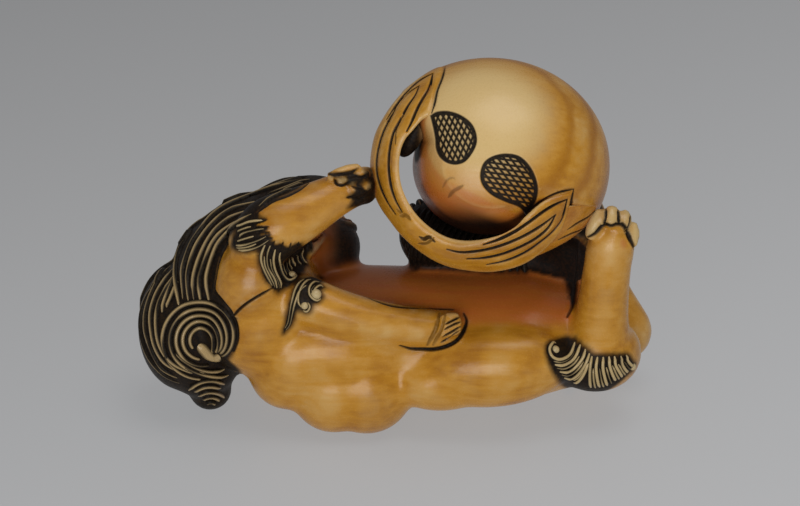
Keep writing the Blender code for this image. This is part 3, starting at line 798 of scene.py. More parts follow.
BARE_PATCHES = [
    ([(-5.95, 25.1), (-5.4, 25.3), (-4.9, 25.1), (-5.1, 24.7), (-5.7, 24.65)], 0.6),
    ([(-4.1, 25.7), (-3.6, 26.2), (-3.0, 26.0), (-3.3, 25.5)], 0.0),
    ([(-3.3, 24.6), (-2.9, 24.8), (-2.5, 24.4), (-2.9, 24.0)], 0.0),
]
mesh = body.data
body_skin = tree_of(body)
across, up, depth = layout_of(mesh)
normals = np.array([v.normal for v in mesh.vertices])
names = list(form_trees)
distances = np.array([[tree.find_nearest(v.co)[3] for tree in form_trees.values()] for v in mesh.vertices])
nearest = distances.argmin(1)
own = {name: nearest == i for i, name in enumerate(names)}
ink = point_values(mesh, "ink")
ink = np.maximum(ink, own["tail"] * ramp(distances[:, names.index("tail")], 0.8, 0.2))
ink = np.maximum(ink, own["mane"] * ramp(softened(mesh, own["mane"].astype(float), 6), 0.4, 0.8))
# Stain and painted shade: the torso's up-facing band under the ball turns red-brown
belly = own["torso"] * ramp(up + 0.25 * normals[:, 2], 9.4, 10.6) * ramp(normals[:, 2], -0.5, 0.1)
belly = np.maximum(belly, own["tail"])
belly = softened(mesh, belly.astype(float), 5)
muzzle = softened(mesh, (own["head"] & (normals[:, 1] < 0.35)).astype(float), 5)
# Painted shadow: the top of the belly, under the tail and the ball, is darkened with black
shade_at_belly_top = own["torso"] * ramp(up, 13.0, 15.0) * ramp(-across, -4.0, 6.0) * 0.35
mole = 0.6 * patch(mesh, body_skin, MOLE, 0.2)
set_point_values(mesh, "stain_and_shade", np.clip(belly + muzzle + mole, 0, 1))
ink = np.maximum(ink, muzzle * ramp(across, -9.5, -5.5))
ink = np.maximum(ink, softened(mesh, shade_at_belly_top, 4))
# Painted shade: the far hind foot, where it faces the viewer under the ball, is inked black
shade_under_ball = own["hind_legs"] * (depth > 3) * ramp(-normals[:, 1], -0.2, 0.3) * ramp(up, 12.5, 15.0)
shade_under_ball = shade_under_ball * ramp(-up, -24.5, -23.0)
ink = np.maximum(ink, softened(mesh, shade_under_ball, 3))
for loop in INKED_PATCHES:
    ink = np.maximum(ink, patch(mesh, body_skin, loop, 0.15))
toe_line = np.interp(across, [p[0] for p in TOE_LINE], [p[1] for p in TOE_LINE])
pale = 0.5 * own["hind_legs"] * ramp(up - toe_line, -0.1, 0.3) * (depth < 2)
for loop, paleness in BARE_PATCHES:
    bare = patch(mesh, body_skin, loop, 0.12)
    ink = ink * (1 - 0.9 * bare)
    pale = np.maximum(pale, paleness * bare)
set_point_values(mesh, "ink", ink)
set_point_values(mesh, "pale", pale)
body.data.materials.append(ivory("golden_ivory", 0.47))
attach(body, "root")
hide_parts("lion_dog_and_ball")


# The mane
# Long strands are cut side by side from the crown down the neck and into a snail curl.
# Their crests are polished pale and the cuts between them hold thick black ink.
STRAND = 0.34           # half the width of a strand
STRAND_SIDES = 16
STRAND_SINK = 0.05


def strand(skin, path, view=FRONT, radius=STRAND, tip=0.25, height=1.1, steps=5, polish=1.0, jump=1.2):
    """One strand laid on the skin along a path of (across, up) points, thin at both ends.

    polish says how far its crest is worn pale; at 1 the ink breaks the pale line here and there.
    """
    places, outs = draped(skin, smooth_path(path, steps), view, jump=jump)
    if len(places) < 5:
        return None
    soft = []
    for i in range(len(outs)):
        window = outs[max(0, i - 4):i + 5]
        soft.append(sum(window, Vector()).normalized())
    last = len(places) - 1
    radii = []
    for i in range(last + 1):
        full = min(1.0, 5 * i / last, 5 * (last - i) / last)
        radii.append(radius * (tip + (1 - tip) * full))
    places = [p - out * (STRAND_SINK + radius - r) for p, out, r in zip(places, soft, radii)]
    points, faces, crest = bar(places, radii, soft, height, STRAND_SIDES)
    start = places[0].x * 7 + places[0].z * 3
    worn = []
    for i in range(last + 1):
        broken = max(0, math.sin(start + 0.23 * i) + math.sin(2 * start + 0.1 * i))
        worn.append(polish - 0.05 * broken)
    return points, faces, [c * worn[i // STRAND_SIDES] for i, c in enumerate(crest)]


def comb(skin, guides, count, view=FRONT, radius=STRAND):
    """Strands side by side, spread evenly between neighbouring guides of equal length."""
    guides = [[Vector(p) for p in guide] for guide in guides]
    found = []
    for i in range(count):
        share = i / (count - 1) * (len(guides) - 1)
        first = min(int(share), len(guides) - 2)
        path = [a.lerp(b, share - first) for a, b in zip(guides[first], guides[first + 1])]
        found.append(strand(skin, path, view, radius))
    return [made for made in found if made]


def bundle(name, strands, pale=0.7):
    """One piece from many strands: ink down their sides, and a worn line along each crest."""
    points, faces, crests = [], [], []
    for places, sides, crest in strands:
        first = len(points)
        points += places
        faces += [tuple(first + i for i in side) for side in sides]
        crests += crest
    made = mesh_object(name, points, faces)
    set_point_values(made.data, "ink", np.clip((0.99 - np.array(crests)) / 0.11, 0, 1))
    set_point_values(made.data, "pale", np.full(len(points), pale))
    return made


CROWN = [
    [(-8.9, 25.8), (-11.5, 25.2), (-14.2, 24.3), (-16.9, 23.5), (-18.7, 22.9), (-20.1, 21.8),
     (-21.3, 20.6), (-22.0, 19.3), (-22.7, 18.0), (-23.2, 16.6), (-23.3, 14.8), (-23.0, 12.6)],
    [(-9.1, 25.5), (-12.4, 24.5), (-15.8, 23.3), (-17.9, 22.4), (-19.4, 21.3), (-20.6, 19.8),
     (-21.5, 18.4), (-22.1, 16.8), (-22.5, 15.2), (-22.5, 12.9)],
    [(-8.9, 25.2), (-11.5, 24.0), (-14.0, 23.1), (-16.5, 22.3), (-18.2, 21.4), (-19.6, 20.1),
     (-20.7, 18.6), (-21.3, 17.3), (-21.7, 15.9), (-21.9, 14.5), (-21.9, 12.8)],
    [(-9.8, 24.4), (-12.4, 23.3), (-15.1, 22.2), (-17.1, 21.2), (-18.7, 20.0), (-19.7, 18.7),
     (-20.4, 17.3), (-20.9, 15.9), (-21.2, 14.5), (-21.2, 12.7)],
    [(-13.3, 22.6), (-15.3, 21.7), (-16.7, 20.8), (-18.1, 19.7), (-19.2, 18.4), (-19.9, 16.9),
     (-20.3, 15.7), (-20.6, 14.5), (-20.5, 12.7)],
    [(-14.6, 21.6), (-16.2, 20.6), (-17.6, 19.4), (-18.6, 18.3), (-19.2, 17.0), (-19.6, 15.7),
     (-19.8, 14.5), (-19.6, 12.6)],
]
mane_strands = []
for path in CROWN:
    path = [*path, (path[-1][0] + 0.1, path[-1][1] - 1.0)]
    mane_strands.append(strand(body_skin, path, radius=0.36, tip=0.45, jump=4.0))

THIN_LOCKS = [
    [(-8.7, 25.7), (-11.5, 24.9), (-14.4, 23.9)],
    [(-8.8, 25.3), (-11.5, 24.2), (-13.9, 23.3)],
    [(-9.6, 24.8), (-12.0, 23.8), (-14.2, 22.7)],
    [(-10.6, 24.1), (-12.6, 23.2), (-14.2, 22.2)],
]
BROAD_LOCKS = [
    [(-15.7, 23.6), (-17.0, 23.1), (-18.6, 22.4)],
    [(-21.6, 20.0), (-22.5, 18.6), (-23.5, 17.1)],
    [(-23.8, 17.0), (-24.8, 15.4), (-25.6, 13.8)],
]
for path in THIN_LOCKS:
    mane_strands.append(strand(body_skin, path, radius=0.3, polish=0.96, tip=0.5))
for path in BROAD_LOCKS:
    mane_strands.append(strand(body_skin, path, radius=0.5, polish=0.93, jump=4.0))

NECK = [
    [(-22.6, 18.7), (-24.5, 16.2), (-26.0, 13.5), (-27.0, 11.2), (-27.1, 8.8), (-26.2, 6.1),
     (-24.2, 4.0), (-21.8, 2.8)],
    [(-22.7, 17.7), (-24.9, 14.9), (-25.8, 13.3), (-26.4, 11.6), (-26.6, 10.2), (-26.4, 8.4),
     (-25.2, 5.6), (-24.0, 4.4), (-22.2, 3.4)],
    [(-22.9, 16.8), (-24.9, 13.8), (-25.6, 12.3), (-25.95, 10.7), (-25.8, 8.8), (-25.4, 7.2),
     (-24.5, 5.7), (-23.2, 4.7), (-21.6, 3.9)],
    [(-23.1, 15.9), (-24.6, 13.0), (-25.1, 11.8), (-25.3, 10.4), (-25.2, 8.6), (-24.8, 7.2),
     (-23.9, 5.9), (-22.5, 4.9), (-20.8, 4.1)],
]
NECK_LOCKS = [
    [(-23.2, 15.2), (-24.0, 13.4), (-24.5, 12.0), (-24.8, 10.6)],
    [(-22.9, 14.6), (-23.4, 13.4), (-23.9, 12.2), (-24.3, 11.4)],
    [(-21.9, 19.4), (-22.9, 17.9), (-24.0, 16.6), (-25.2, 14.9), (-26.2, 12.9)],
]
for path, polish in zip([*NECK, *NECK_LOCKS], (0.95, 0.97, 1.0, 1.0, 1.0, 1.0, 0.95)):
    mane_strands.append(strand(body_skin, path, radius=0.32, polish=polish, jump=2.5))

CURL_CENTRE = Vector((-20.4, 8.06))
CURL_EYE = Vector((-18.9, 6.8))
CURL_ARMS = [(4.27, -95), (3.5, -85), (2.8, -80), (2.1, -100), (1.35, -140)]   # reach and start angle
for reach, start in CURL_ARMS:
    path = []
    for step in range(28):
        t = step / 27
        angle = math.radians(start - (325 + start * 0.25) * t)
        closing = max(0.0, (t - 0.7) / 0.3) ** 1.6
        place = CURL_CENTRE + Vector((math.cos(angle), math.sin(angle))) * reach * (1 - 0.06 * t)
        path.append(place.lerp(CURL_EYE, 0.62 * closing))
    mane_strands.append(strand(body_skin, path, radius=0.33, steps=2, tip=0.8))
curl_eye = [(-20.9, 7.6), (-20.3, 7.0), (-19.75, 6.4), (-19.1, 6.1), (-18.4, 6.4)]
mane_strands.append(strand(body_skin, curl_eye, radius=0.68, polish=1.3, height=0.6, tip=0.55))
for radius in (2.9, 2.3, 1.7, 1.1, 0.5):
    path = []
    for step in range(9):
        angle = math.radians(150 - 130 * step / 8)
        path.append((-19.8 + radius * math.cos(angle), 0.7 + radius * math.sin(angle)))
    mane_strands.append(strand(body_skin, path, radius=0.3, steps=2))
for path in ([(-23.5, 6.3), (-22.2, 5.2), (-20.4, 4.3), (-18.7, 4.0), (-17.1, 4.3)],
             [(-24.0, 7.3), (-22.7, 6.1), (-21.0, 5.0), (-19.2, 4.6), (-16.9, 5.2)]):
    mane_strands.append(strand(body_skin, path, radius=0.3))

nape_first = [(-9.2, 14.5), (-9.6, 11.5), (-9.2, 8.0), (-8.0, 3.5), (-5.8, -1.5)]
nape_last = [(-4.9, 15.5), (-4.5, 12.0), (-4.0, 8.0), (-3.4, 3.5), (-2.8, -1.0)]
mane_strands += comb(body_skin, [nape_first, nape_last], 8, HEAD_END, radius=0.4)
far_outer = [(6.4, 19.6), (10.0, 20.4), (14.0, 19.6), (17.4, 17.2), (20.2, 13.4), (22.0, 9.4),
             (22.2, 5.6), (21.0, 3.0)]
far_inner = [(11.4, 18.4), (13.0, 18.4), (14.8, 17.4), (16.0, 15.4), (16.8, 12.8), (17.2, 10.2),
             (17.4, 7.6), (17.2, 4.8)]
mane_strands += comb(body_skin, [far_outer, far_inner], 10, BEHIND, radius=0.4)
mane = bundle("mane", [made for made in mane_strands if made])
mane.data.materials.append(ivory("inked_mane_ivory", 0.45, 0.3, PALE))
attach(mane, "root")
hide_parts("lion_dog_and_ball")


# Tufts at the elbows and the hock
# Short flame-like locks where the legs bend, cut like the mane. Handling has worn their
# crests pale, and their almost white crests also carry a painted glint.
WORN_WHITE_AND_GLINT = (0.62, 0.60, 0.50)
ELBOW_LOCKS = [
    [(-13.4, 20.8), (-14.9, 20.6), (-16.0, 20.2), (-16.6, 20.1)],
    [(-13.3, 19.9), (-14.5, 19.7), (-15.6, 19.4), (-16.3, 18.9)],
    [(-13.0, 19.2), (-14.3, 18.6), (-15.6, 18.2), (-16.8, 18.1)],
    [(-12.8, 18.8), (-14.0, 18.1), (-15.2, 17.7), (-16.6, 17.6)],
    [(-13.2, 18.6), (-13.8, 17.3), (-13.8, 16.2), (-13.3, 14.8), (-12.5, 13.5)],
    [(-12.7, 18.4), (-13.2, 17.3), (-13.2, 15.9), (-12.6, 14.6), (-12.1, 13.2)],
    [(-12.2, 18.1), (-12.6, 16.8), (-12.5, 15.5), (-12.0, 14.3), (-11.8, 13.4)],
    [(-11.6, 17.9), (-12.0, 16.8), (-11.9, 15.5), (-11.5, 14.7), (-10.9, 14.4), (-10.3, 14.8),
     (-10.5, 15.5)],
    [(-11.0, 17.9), (-11.4, 16.8), (-11.4, 15.8), (-11.0, 15.1)],
    [(-10.2, 18.0), (-10.7, 17.3), (-10.8, 16.5), (-10.4, 15.9)],
    [(-9.5, 18.0), (-9.9, 17.2), (-9.6, 16.4), (-9.1, 16.1)],
]
FORELEG_LOCKS = [
    [(-7.6, 14.7), (-8.6, 14.6), (-9.4, 14.1), (-9.9, 13.2), (-10.0, 12.2), (-9.6, 11.4)],
    [(-7.4, 14.3), (-8.4, 14.2), (-8.9, 13.6), (-8.8, 12.8), (-8.1, 12.3), (-7.4, 12.7)],
    [(-7.3, 13.7), (-7.9, 13.8), (-8.4, 13.3), (-8.1, 12.9)],
    [(-7.9, 14.9), (-9.4, 14.6), (-10.2, 13.7), (-10.6, 12.5), (-10.9, 11.2), (-11.2, 10.0), (-11.7, 8.9)],
    [(-8.8, 14.2), (-9.8, 13.4), (-10.3, 12.2), (-10.6, 11.1), (-11.0, 9.8), (-11.6, 8.8)],
    [(-9.6, 11.3), (-9.1, 11.2), (-8.8, 11.7), (-9.1, 12.2)],
]
HOCK_LOCKS = [
    [(19.5, 8.4), (19.2, 7.3), (18.6, 6.4), (17.6, 6.0), (16.8, 6.3), (16.5, 7.1), (17.0, 7.8),
     (17.6, 7.6)],
    [(20.0, 7.9), (19.7, 6.8), (19.0, 5.9), (17.9, 5.4), (16.9, 5.5)],
    [(20.5, 7.4), (20.3, 6.3), (19.5, 5.3), (18.5, 4.7), (17.4, 4.7)],
    [(21.0, 7.0), (20.6, 5.7), (19.9, 4.6), (19.0, 4.0), (17.9, 4.0)],
    [(20.9, 6.2), (20.5, 4.8), (19.9, 3.8), (19.1, 3.3)],
    [(21.2, 6.6), (21.0, 5.2), (21.0, 3.9), (21.2, 2.6)],
    [(21.8, 6.5), (21.6, 5.2), (21.8, 3.8), (22.2, 2.7)],
    [(22.4, 6.5), (22.3, 5.2), (22.6, 3.9), (23.0, 2.9)],
    [(23.0, 6.5), (23.0, 5.4), (23.4, 4.3), (23.9, 3.5)],
    [(23.6, 6.5), (23.6, 5.5), (24.1, 4.6), (24.6, 3.9)],
    [(24.3, 6.5), (24.3, 5.6), (24.7, 4.9), (25.2, 4.5)],
    [(24.9, 6.5), (24.9, 5.9), (25.3, 5.4), (25.7, 5.2)],
]


def bead(skin, spot, radius):
    """Round bead of bare ivory, half sunk in the skin, where a lock curls in on itself."""
    places, outs = draped(skin, [spot])
    shape = lump(places[0] - outs[0] * (radius * 0.35), (radius, radius, radius), segments=20)
    points = [v.co.copy() for v in shape.data.vertices]
    faces = [tuple(f.vertices) for f in shape.data.polygons]
    bpy.data.objects.remove(shape)
    return points, faces, [1.2] * len(points)


TUFTS = [(ELBOW_LOCKS, 0.22, 1.04), (FORELEG_LOCKS, 0.2, 1.02), (HOCK_LOCKS, 0.27, 1.12)]
BEADS = [((-10.75, 15.1), 0.5), ((-8.15, 13.0), 0.62), ((-9.35, 11.75), 0.42), ((17.3, 7.1), 0.45),
         ((25.7, 5.1), 0.42)]
tuft_strands = []
for locks, radius, polish in TUFTS:
    for path in locks:
        tuft_strands.append(strand(body_skin, path, radius=radius, height=1.3, polish=polish))
    for first, second in zip(locks, locks[1:]):
        between = [(Vector(a) + Vector(b)) / 2 for a, b in zip(first[1:], second[1:])]
        start_gap = (between[0] - Vector(first[1])).length
        end_gap = (between[-1] - Vector(second[-1])).length
        if len(between) > 2 and start_gap < 0.6 and end_gap < 1:
            tuft_strands.append(strand(body_skin, between, radius=radius * 0.8, height=1.2, polish=1.0))
tuft_strands += [bead(body_skin, spot, radius) for spot, radius in BEADS]
tufts = bundle("tufts", [made for made in tuft_strands if made], 0.85)
tufts.data.materials.append(ivory("worn_and_glinting_tuft_ivory", 0.45, 0.15, WORN_WHITE_AND_GLINT))
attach(tufts, "root")
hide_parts("lion_dog_and_ball")


# The tail
# A bushy tail is drawn up over the belly and carries the ball. Its locks are deeply cut
# and nearly all black.
tail_roots = [(2.2, 22.8), (6.0, 22.6), (9.0, 21.4), (12.0, 19.8), (15.0, 18.6)]
tail_tips = [(1.1, 15.2), (3.0, 15.4), (6.6, 15.2), (10.2, 15.0), (14.2, 15.0)]


def side_locks(roots, tips, lean, view, radius, polish):
    """Locks side by side from one line down to another, each bowed a little to one side."""
    found = []
    for root, tip in zip(smooth_path(roots, 5), smooth_path(tips, 5)):
        middle = root.lerp(tip, 0.5) + Vector(lean)
        found.append(strand(body_skin, [root, middle, tip], view, radius, polish=polish))
    return found


tail_strands = side_locks(tail_roots, tail_tips, (-0.5, 0.2), FRONT, 0.34, 0.88)
behind_roots = [(-1.4, 21.5), (-6.0, 20.6), (-11.0, 18.4), (-16.0, 15.6), (-19.0, 13.0)]
behind_tips = [(-0.8, 14.6), (-4.4, 13.6), (-9.0, 11.8), (-13.0, 10.0), (-16.0, 8.4)]
tail_strands += side_locks(behind_roots, behind_tips, (0.6, 0.2), BEHIND, 0.42, 0.95)
tail = bundle("tail", [made for made in tail_strands if made], 0.3)
tail.data.materials.append(ivory("black_tail_ivory", 0.6, 0.7, PALE))
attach(tail, "root")
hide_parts("lion_dog_and_ball")


# The ball
# A smooth ball, cut back to a smaller core where the ribbon's loop stands free of it.
# Two comma-shaped patches are sunk into its front and cross-hatched.
BALL_WIDTH, BALL_HEIGHT, BALL_DEPTH = 25.5, 22.9, 22.6
CORE_START, CORE_REACH = 0.4, 0.64      # share where the ball is cut back from, and its core's reach
UNDERCUT_FROM, UNDERCUT_TO, UNDERCUT_BLEND = 136, 336, 24       # degrees round the ball's middle
BALL_PLACE = Vector((10.2, 26.6))       # of its middle, across and up
BALL_CENTRE = seen(10.2, 15.15, -3.85) + FRONT[1] * (BALL_HEIGHT / 2)
UNDERCUT_EDGE = [(3.3, 31.34), (3.5, 29.24), (3.9, 27.44), (4.6, 26.04), (5.6, 25.04), (6.9, 24.34),
                 (8.5, 23.64), (10.1, 22.74), (11.8, 22.04), (13.5, 21.34)]


def ball_shape():
    right, lift, back = FRONT
    shape = bmesh.new()
    bmesh.ops.create_icosphere(shape, subdivisions=7, radius=1)
    for vertex in shape.verts:
        across, depth, up = vertex.co
        reach = math.hypot(across, up)
        angle = math.degrees(math.atan2(up, across)) % 360
        inside = smooth_step((angle - UNDERCUT_FROM) / UNDERCUT_BLEND)
        inside *= smooth_step((UNDERCUT_TO - angle) / UNDERCUT_BLEND)
        if reach > CORE_START:
            squeeze = (CORE_REACH - CORE_START) / (1 - CORE_START)
            narrowed = CORE_START + (reach - CORE_START) * squeeze
            share = (reach + (narrowed - reach) * inside) / reach
            across, up = across * share, up * share
        vertex.co = (
            BALL_CENTRE
            + right * (across * BALL_WIDTH / 2)
            + lift * (up * BALL_HEIGHT / 2)
            - back * (depth * BALL_DEPTH / 2)
        )
    mesh = bpy.data.meshes.new("ball")
    shape.to_mesh(mesh)
    shape.free()
    return placed("ball", mesh)


ball = ball_shape()

# A lump between the ball and the top of the ribbon's loop, inked black as painted shade inside the loop
SHADE_WEB_PLACE = BALL_CENTRE + FRONT[0] * -8.25 + FRONT[1] * 3.1 + FRONT[2] * 4.4
shade_web = lump(SHADE_WEB_PLACE, (1.15, 1.9, 2.6), (0, 26, 0))
joined = bmesh.new()
joined.from_mesh(ball.data)
joined.from_mesh(shade_web.data)
joined.to_mesh(ball.data)
joined.free()
bpy.data.objects.remove(shade_web)

COMMAS = [
    ([(3.8, 31.64), (4.5, 32.04), (5.7, 32.09), (7, 31.64), (8.1, 30.74), (8.6, 29.54), (8.5, 28.34),
      (7.6, 26.94), (6.6, 26.49), (5.6, 26.64), (4.8, 27.24), (4.4, 28.14), (4.3, 29.24),
      (4.1, 30.34)], (68, -58)),
    ([(13.9, 21.34), (13.1, 22.04), (11.8, 22.54), (10.3, 23.24), (9.3, 24.24), (9, 25.34),
      (9.3, 26.54), (10.1, 27.24), (11.4, 27.59), (12.8, 27.44), (13.8, 26.74), (14.6, 25.54),
      (15, 24.14), (14.9, 22.94), (14.5, 22.04)],
     (-8, -52)),
]
HATCH_PITCH = 0.52
HATCH_WIDTH = 0.14
RIM_WIDTH = 0.36
PATCH_SINK = 0.14
GROUND_INK = 0.25       # on the small diamonds between the cuts


def hatched(piece):
    """Sink the comma patches, with an inked rim and crossed cuts that leave small ivory diamonds."""
    right, lift, back = FRONT
    outlines = []
    for points, angles in COMMAS:
        loop = np.array([tuple(p) for p in smooth_path([*points, points[0]], 8)])
        outlines.append((loop, angles))
    shape = bmesh.new()
    shape.from_mesh(piece.data)

    def measured():
        verts = [v for v in shape.verts if (v.co - BALL_CENTRE).dot(back) > 0]
        spots = np.array([((v.co + UNDER).dot(right), (v.co + UNDER).dot(lift)) for v in verts])
        return verts, spots, [depth_inside(spots, loop) for loop, _ in outlines]

    for _ in range(2):
        verts, _, depths = measured()
        near = {v for v, d in zip(verts, np.maximum.reduce(depths)) if d > -0.3}
        edges = [e for e in shape.edges if set(e.verts) <= near]
        bmesh.ops.subdivide_edges(shape, edges=edges, cuts=1, use_grid_fill=True)
    shape.normal_update()
    ink = shape.verts.layers.float.new("ink")
    verts, spots, depths = measured()
    for (loop, angles), inside in zip(outlines, depths):
        for i in np.nonzero(inside > -0.12)[0]:
            deep = inside[i]
            vertex = verts[i]
            if deep < RIM_WIDTH:
                dark = smooth_step((deep + 0.08) / 0.12)
                sink = PATCH_SINK * smooth_step((deep + 0.1) / 0.2)
            else:
                gap = 1.0
                for angle in angles:
                    a = math.radians(angle)
                    across = -spots[i, 0] * math.sin(a) + spots[i, 1] * math.cos(a)
                    off = abs((across / HATCH_PITCH) % 1 - 0.5) * HATCH_PITCH
                    gap = min(gap, off)
                edge = smooth_step((deep - RIM_WIDTH) / 0.12)
                cut = 1 - smooth_step((gap - HATCH_WIDTH * 0.55) / (HATCH_WIDTH * 0.8))
                dark = max(1 - edge, cut, GROUND_INK)
                sink = PATCH_SINK * (0.45 + 0.55 * max(cut, 1 - edge))
            vertex[ink] = max(vertex[ink], dark)
            vertex.co -= vertex.normal * sink
    bmesh.ops.triangulate(shape, faces=[f for f in shape.faces if len(f.verts) > 3])
    shape.to_mesh(piece.data)
    shape.free()


hatched(ball)
ball_skin = tree_of(ball)
engraved(ball, [
    line_on(ball_skin, [(5.1, 24.1), (5.5, 24.8), (6.0, 25.1), (6.4, 25.0)], 0.13, 0.04, 0.35),
    line_on(ball_skin, [(5.7, 23.1), (6.2, 23.7), (6.7, 24.0), (7.2, 24.3)], 0.2, 0.04, 0.5),
], 1)

# The undercut is painted red-brown past its edge, as stain and as painted shade of the cut-back core
ALONG_EDGE, PAST_EDGE = (0.8, -0.6), (-0.6, -0.8)


def from_middle(across, up, way):
    """How far these places lie from the ball's middle in this direction."""
    return (across - BALL_PLACE.x) * way[0] + (up - BALL_PLACE.y) * way[1]


mesh = ball.data
across, up, _ = layout_of(mesh)
edge_across, edge_up = np.array([tuple(p) for p in smooth_path(UNDERCUT_EDGE, 6)]).T
edge_along = from_middle(edge_across, edge_up, ALONG_EDGE)
edge_past = from_middle(edge_across, edge_up, PAST_EDGE)
order = edge_along.argsort()
along = from_middle(across, up, ALONG_EDGE)
beyond = from_middle(across, up, PAST_EDGE) - np.interp(along, edge_along[order], edge_past[order])
stain_and_shade = 0.16 * ramp(beyond, -2.8, -0.2) + 0.49 * ramp(beyond, -0.1, 0.5) + 0.35 * ramp(beyond, 0.6, 3.0)
set_point_values(mesh, "stain_and_shade", stain_and_shade)
# Painted shade: black towards the ball's bottom past the undercut edge, round the web, and fainter behind
# the ribbon's loop
low = ramp(-up, -23.4, -20.2) * ramp(beyond, 0.6, 2.2)
from_web = np.array([(v.co - SHADE_WEB_PLACE).length for v in mesh.vertices])
shade_by_web = ramp(-from_web, -3.2, -2.6) * ramp(-across, -3.4, -2.5) * ramp(beyond, -0.2, 0.5)
shade_behind_loop = ramp(-across, -2.6, -1.4) * ramp(beyond, 0.5, 2.0) * 0.4
dark = np.maximum(np.maximum(low, shade_by_web), shade_behind_loop)
set_point_values(mesh, "ink", np.maximum(point_values(mesh, "ink"), dark))
set_point_values(mesh, "pale", np.zeros(len(mesh.vertices)))
ball.data.materials.append(ivory("cream_ball_ivory", 0.44, bands_and_sheen=True, roughness=0.28))
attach(ball, "root")
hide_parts("lion_dog_and_ball")


# The ribbon
# A folded ribbon loops round the ball's edge. It is cut free of the ball on the left, and
# its two pointed ends lie on the ball, with nested folds cut in.
RIBBON_LIFT = 0.42
RIBBON_THICKNESS = 2.5
BALL_RIM = 0.985        # share of the ball's outline that the ribbon is laid on
KNOT_FROM, KNOT_TO, KNOT_BLEND = 205, 262, 14       # degrees round the ball's middle
RIBBON_OUTER = [(5.4, 37.0), (4.3, 36.9), (2.7, 35.9), (1.2, 34.6), (-0.1, 33.1), (-1.2, 31.4),
                (-2.0, 29.7), (-2.4, 27.6), (-2.45, 25.6), (-2.1, 23.7), (-1.3, 22.0), (-0.1, 20.4),
                (1.2, 19.0), (2.7, 17.7), (4.6, 16.5), (6.7, 15.75), (8.9, 15.35), (11.0, 15.4),
                (13.1, 15.9), (14.8, 16.8), (16.3, 18.1), (17.6, 19.7), (18.3, 21.8), (18.7, 23.8)]
RIBBON_INNER = [(5.4, 37.0), (5.0, 35.6), (4.5, 34.3), (4.2, 32.9), (3.8, 31.8), (2.9, 31.2),
                (2.0, 30.2), (1.1, 29.1), (0.6, 27.6), (0.55, 25.6), (0.9, 23.9), (1.7, 22.2),
                (2.7, 20.9), (4.1, 19.7), (5.6, 18.9), (7.3, 18.55), (9.2, 18.65), (11.0, 19.1),
                (12.7, 20.0), (13.9, 21.2), (15.4, 22.5), (17.0, 23.3), (18.7, 23.8)]


def polar(points):
    """Angle and reach from the ball's middle, for points across and up."""
    spots = [p - BALL_PLACE for p in smooth_path(points, 5)]
    angles = [math.degrees(math.atan2(s.y, s.x)) % 360 for s in spots]
    return angles, [s.length for s in spots]


def on_ball(across, up, sink=0.0):
    """Point on the ball's uncut front at this place beside its middle, sunk along its normal."""
    right, lift, back = FRONT
    width, height, depth = BALL_WIDTH / 2, BALL_HEIGHT / 2, BALL_DEPTH / 2
    reach = math.hypot(across / width, up / height)
    if reach > BALL_RIM:
        across, up, reach = across * BALL_RIM / reach, up * BALL_RIM / reach, BALL_RIM
    front = depth * math.sqrt(1 - reach * reach)
    out = right * (across / width ** 2) + lift * (up / height ** 2) + back * (front / depth ** 2)
    return BALL_CENTRE + right * across + lift * up + back * front - out.normalized() * sink


def ribbon_shape(name, outer_line, inner_line, lift_most, knotted=True, stations=420):
    """Closed band: a crowned front, a wall into the loop, a flat back and a rounded outer edge."""
    outer_angles, outer_reach = polar(outer_line)
    inner_angles, inner_reach = polar(inner_line)
    first, last = outer_angles[0], outer_angles[-1]
    front_steps, wall_steps = 34, 7
    points, faces = [], []
    for station in range(stations + 1):
        share = station / stations
        angle = first + (last - first) * share
        a = math.radians(angle)
        outside = np.interp(angle, outer_angles, outer_reach)
        inside = min(outside - 0.02, np.interp(angle, inner_angles, inner_reach))
        width = outside - inside
        end = min(1.0, 5 * share, 5 * (1 - share))
        lift = lift_most * (0.7 + 0.3 * end)
        knot = smooth_step((angle - KNOT_FROM) / KNOT_BLEND) * smooth_step((KNOT_TO - angle) / KNOT_BLEND)
        crown = 0.1 + 0.42 * knot * knotted
        thick = min(RIBBON_THICKNESS, 0.6 + 1.1 * width) * (0.35 + 0.65 * end)
        section = []
        for i in range(front_steps + 1):
            t = i / front_steps
            reach = outside - width * t
            edge = min(1.0, 6 * t * width / 2.5, 6 * (1 - t) * width / 2.5)
            rise = lift * (1 - (1 - edge) ** 2) + crown * math.sin(math.pi * t) - 0.12
            section.append(on_ball(reach * math.cos(a), reach * math.sin(a), -rise))
        back = FRONT[2]
        inner_front, outer_front = section[-1], section[0]
        into = (outer_front - inner_front).normalized() if width > 0.05 else Vector()
        for i in range(1, wall_steps + 1):
            t = i / wall_steps
            section.append(inner_front - back * (thick * t) + into * (0.16 * width * t * t))
        floor_start = section[-1]
        floor_end = outer_front - back * (0.75 * thick) - into * (0.12 * width)
        for i in range(1, wall_steps + 1):
            section.append(floor_start.lerp(floor_end, i / wall_steps))
        for i in range(1, wall_steps):
            t = i / wall_steps
            section.append(floor_end.lerp(outer_front, t) + into * (0.05 * math.sin(math.pi * t) * -width))
        points += section
    ring = len(points) // (stations + 1)
    for i in range(stations):
        for step in range(ring):
            a, b = i * ring + step, i * ring + (step + 1) % ring
            faces.append((a, b, b + ring, a + ring))
    faces.append(tuple(reversed(range(ring))))
    faces.append(tuple(range(stations * ring, (stations + 1) * ring)))
    made = mesh_object(name, points, faces)
    shape = bmesh.new()
    shape.from_mesh(made.data)
    bmesh.ops.recalc_face_normals(shape, faces=shape.faces)
    shape.to_mesh(made.data)
    shape.free()
    wall = np.arange(len(made.data.vertices)) % ring > front_steps
    set_point_values(made.data, "stain_and_shade", 0.85 * wall)
    return made


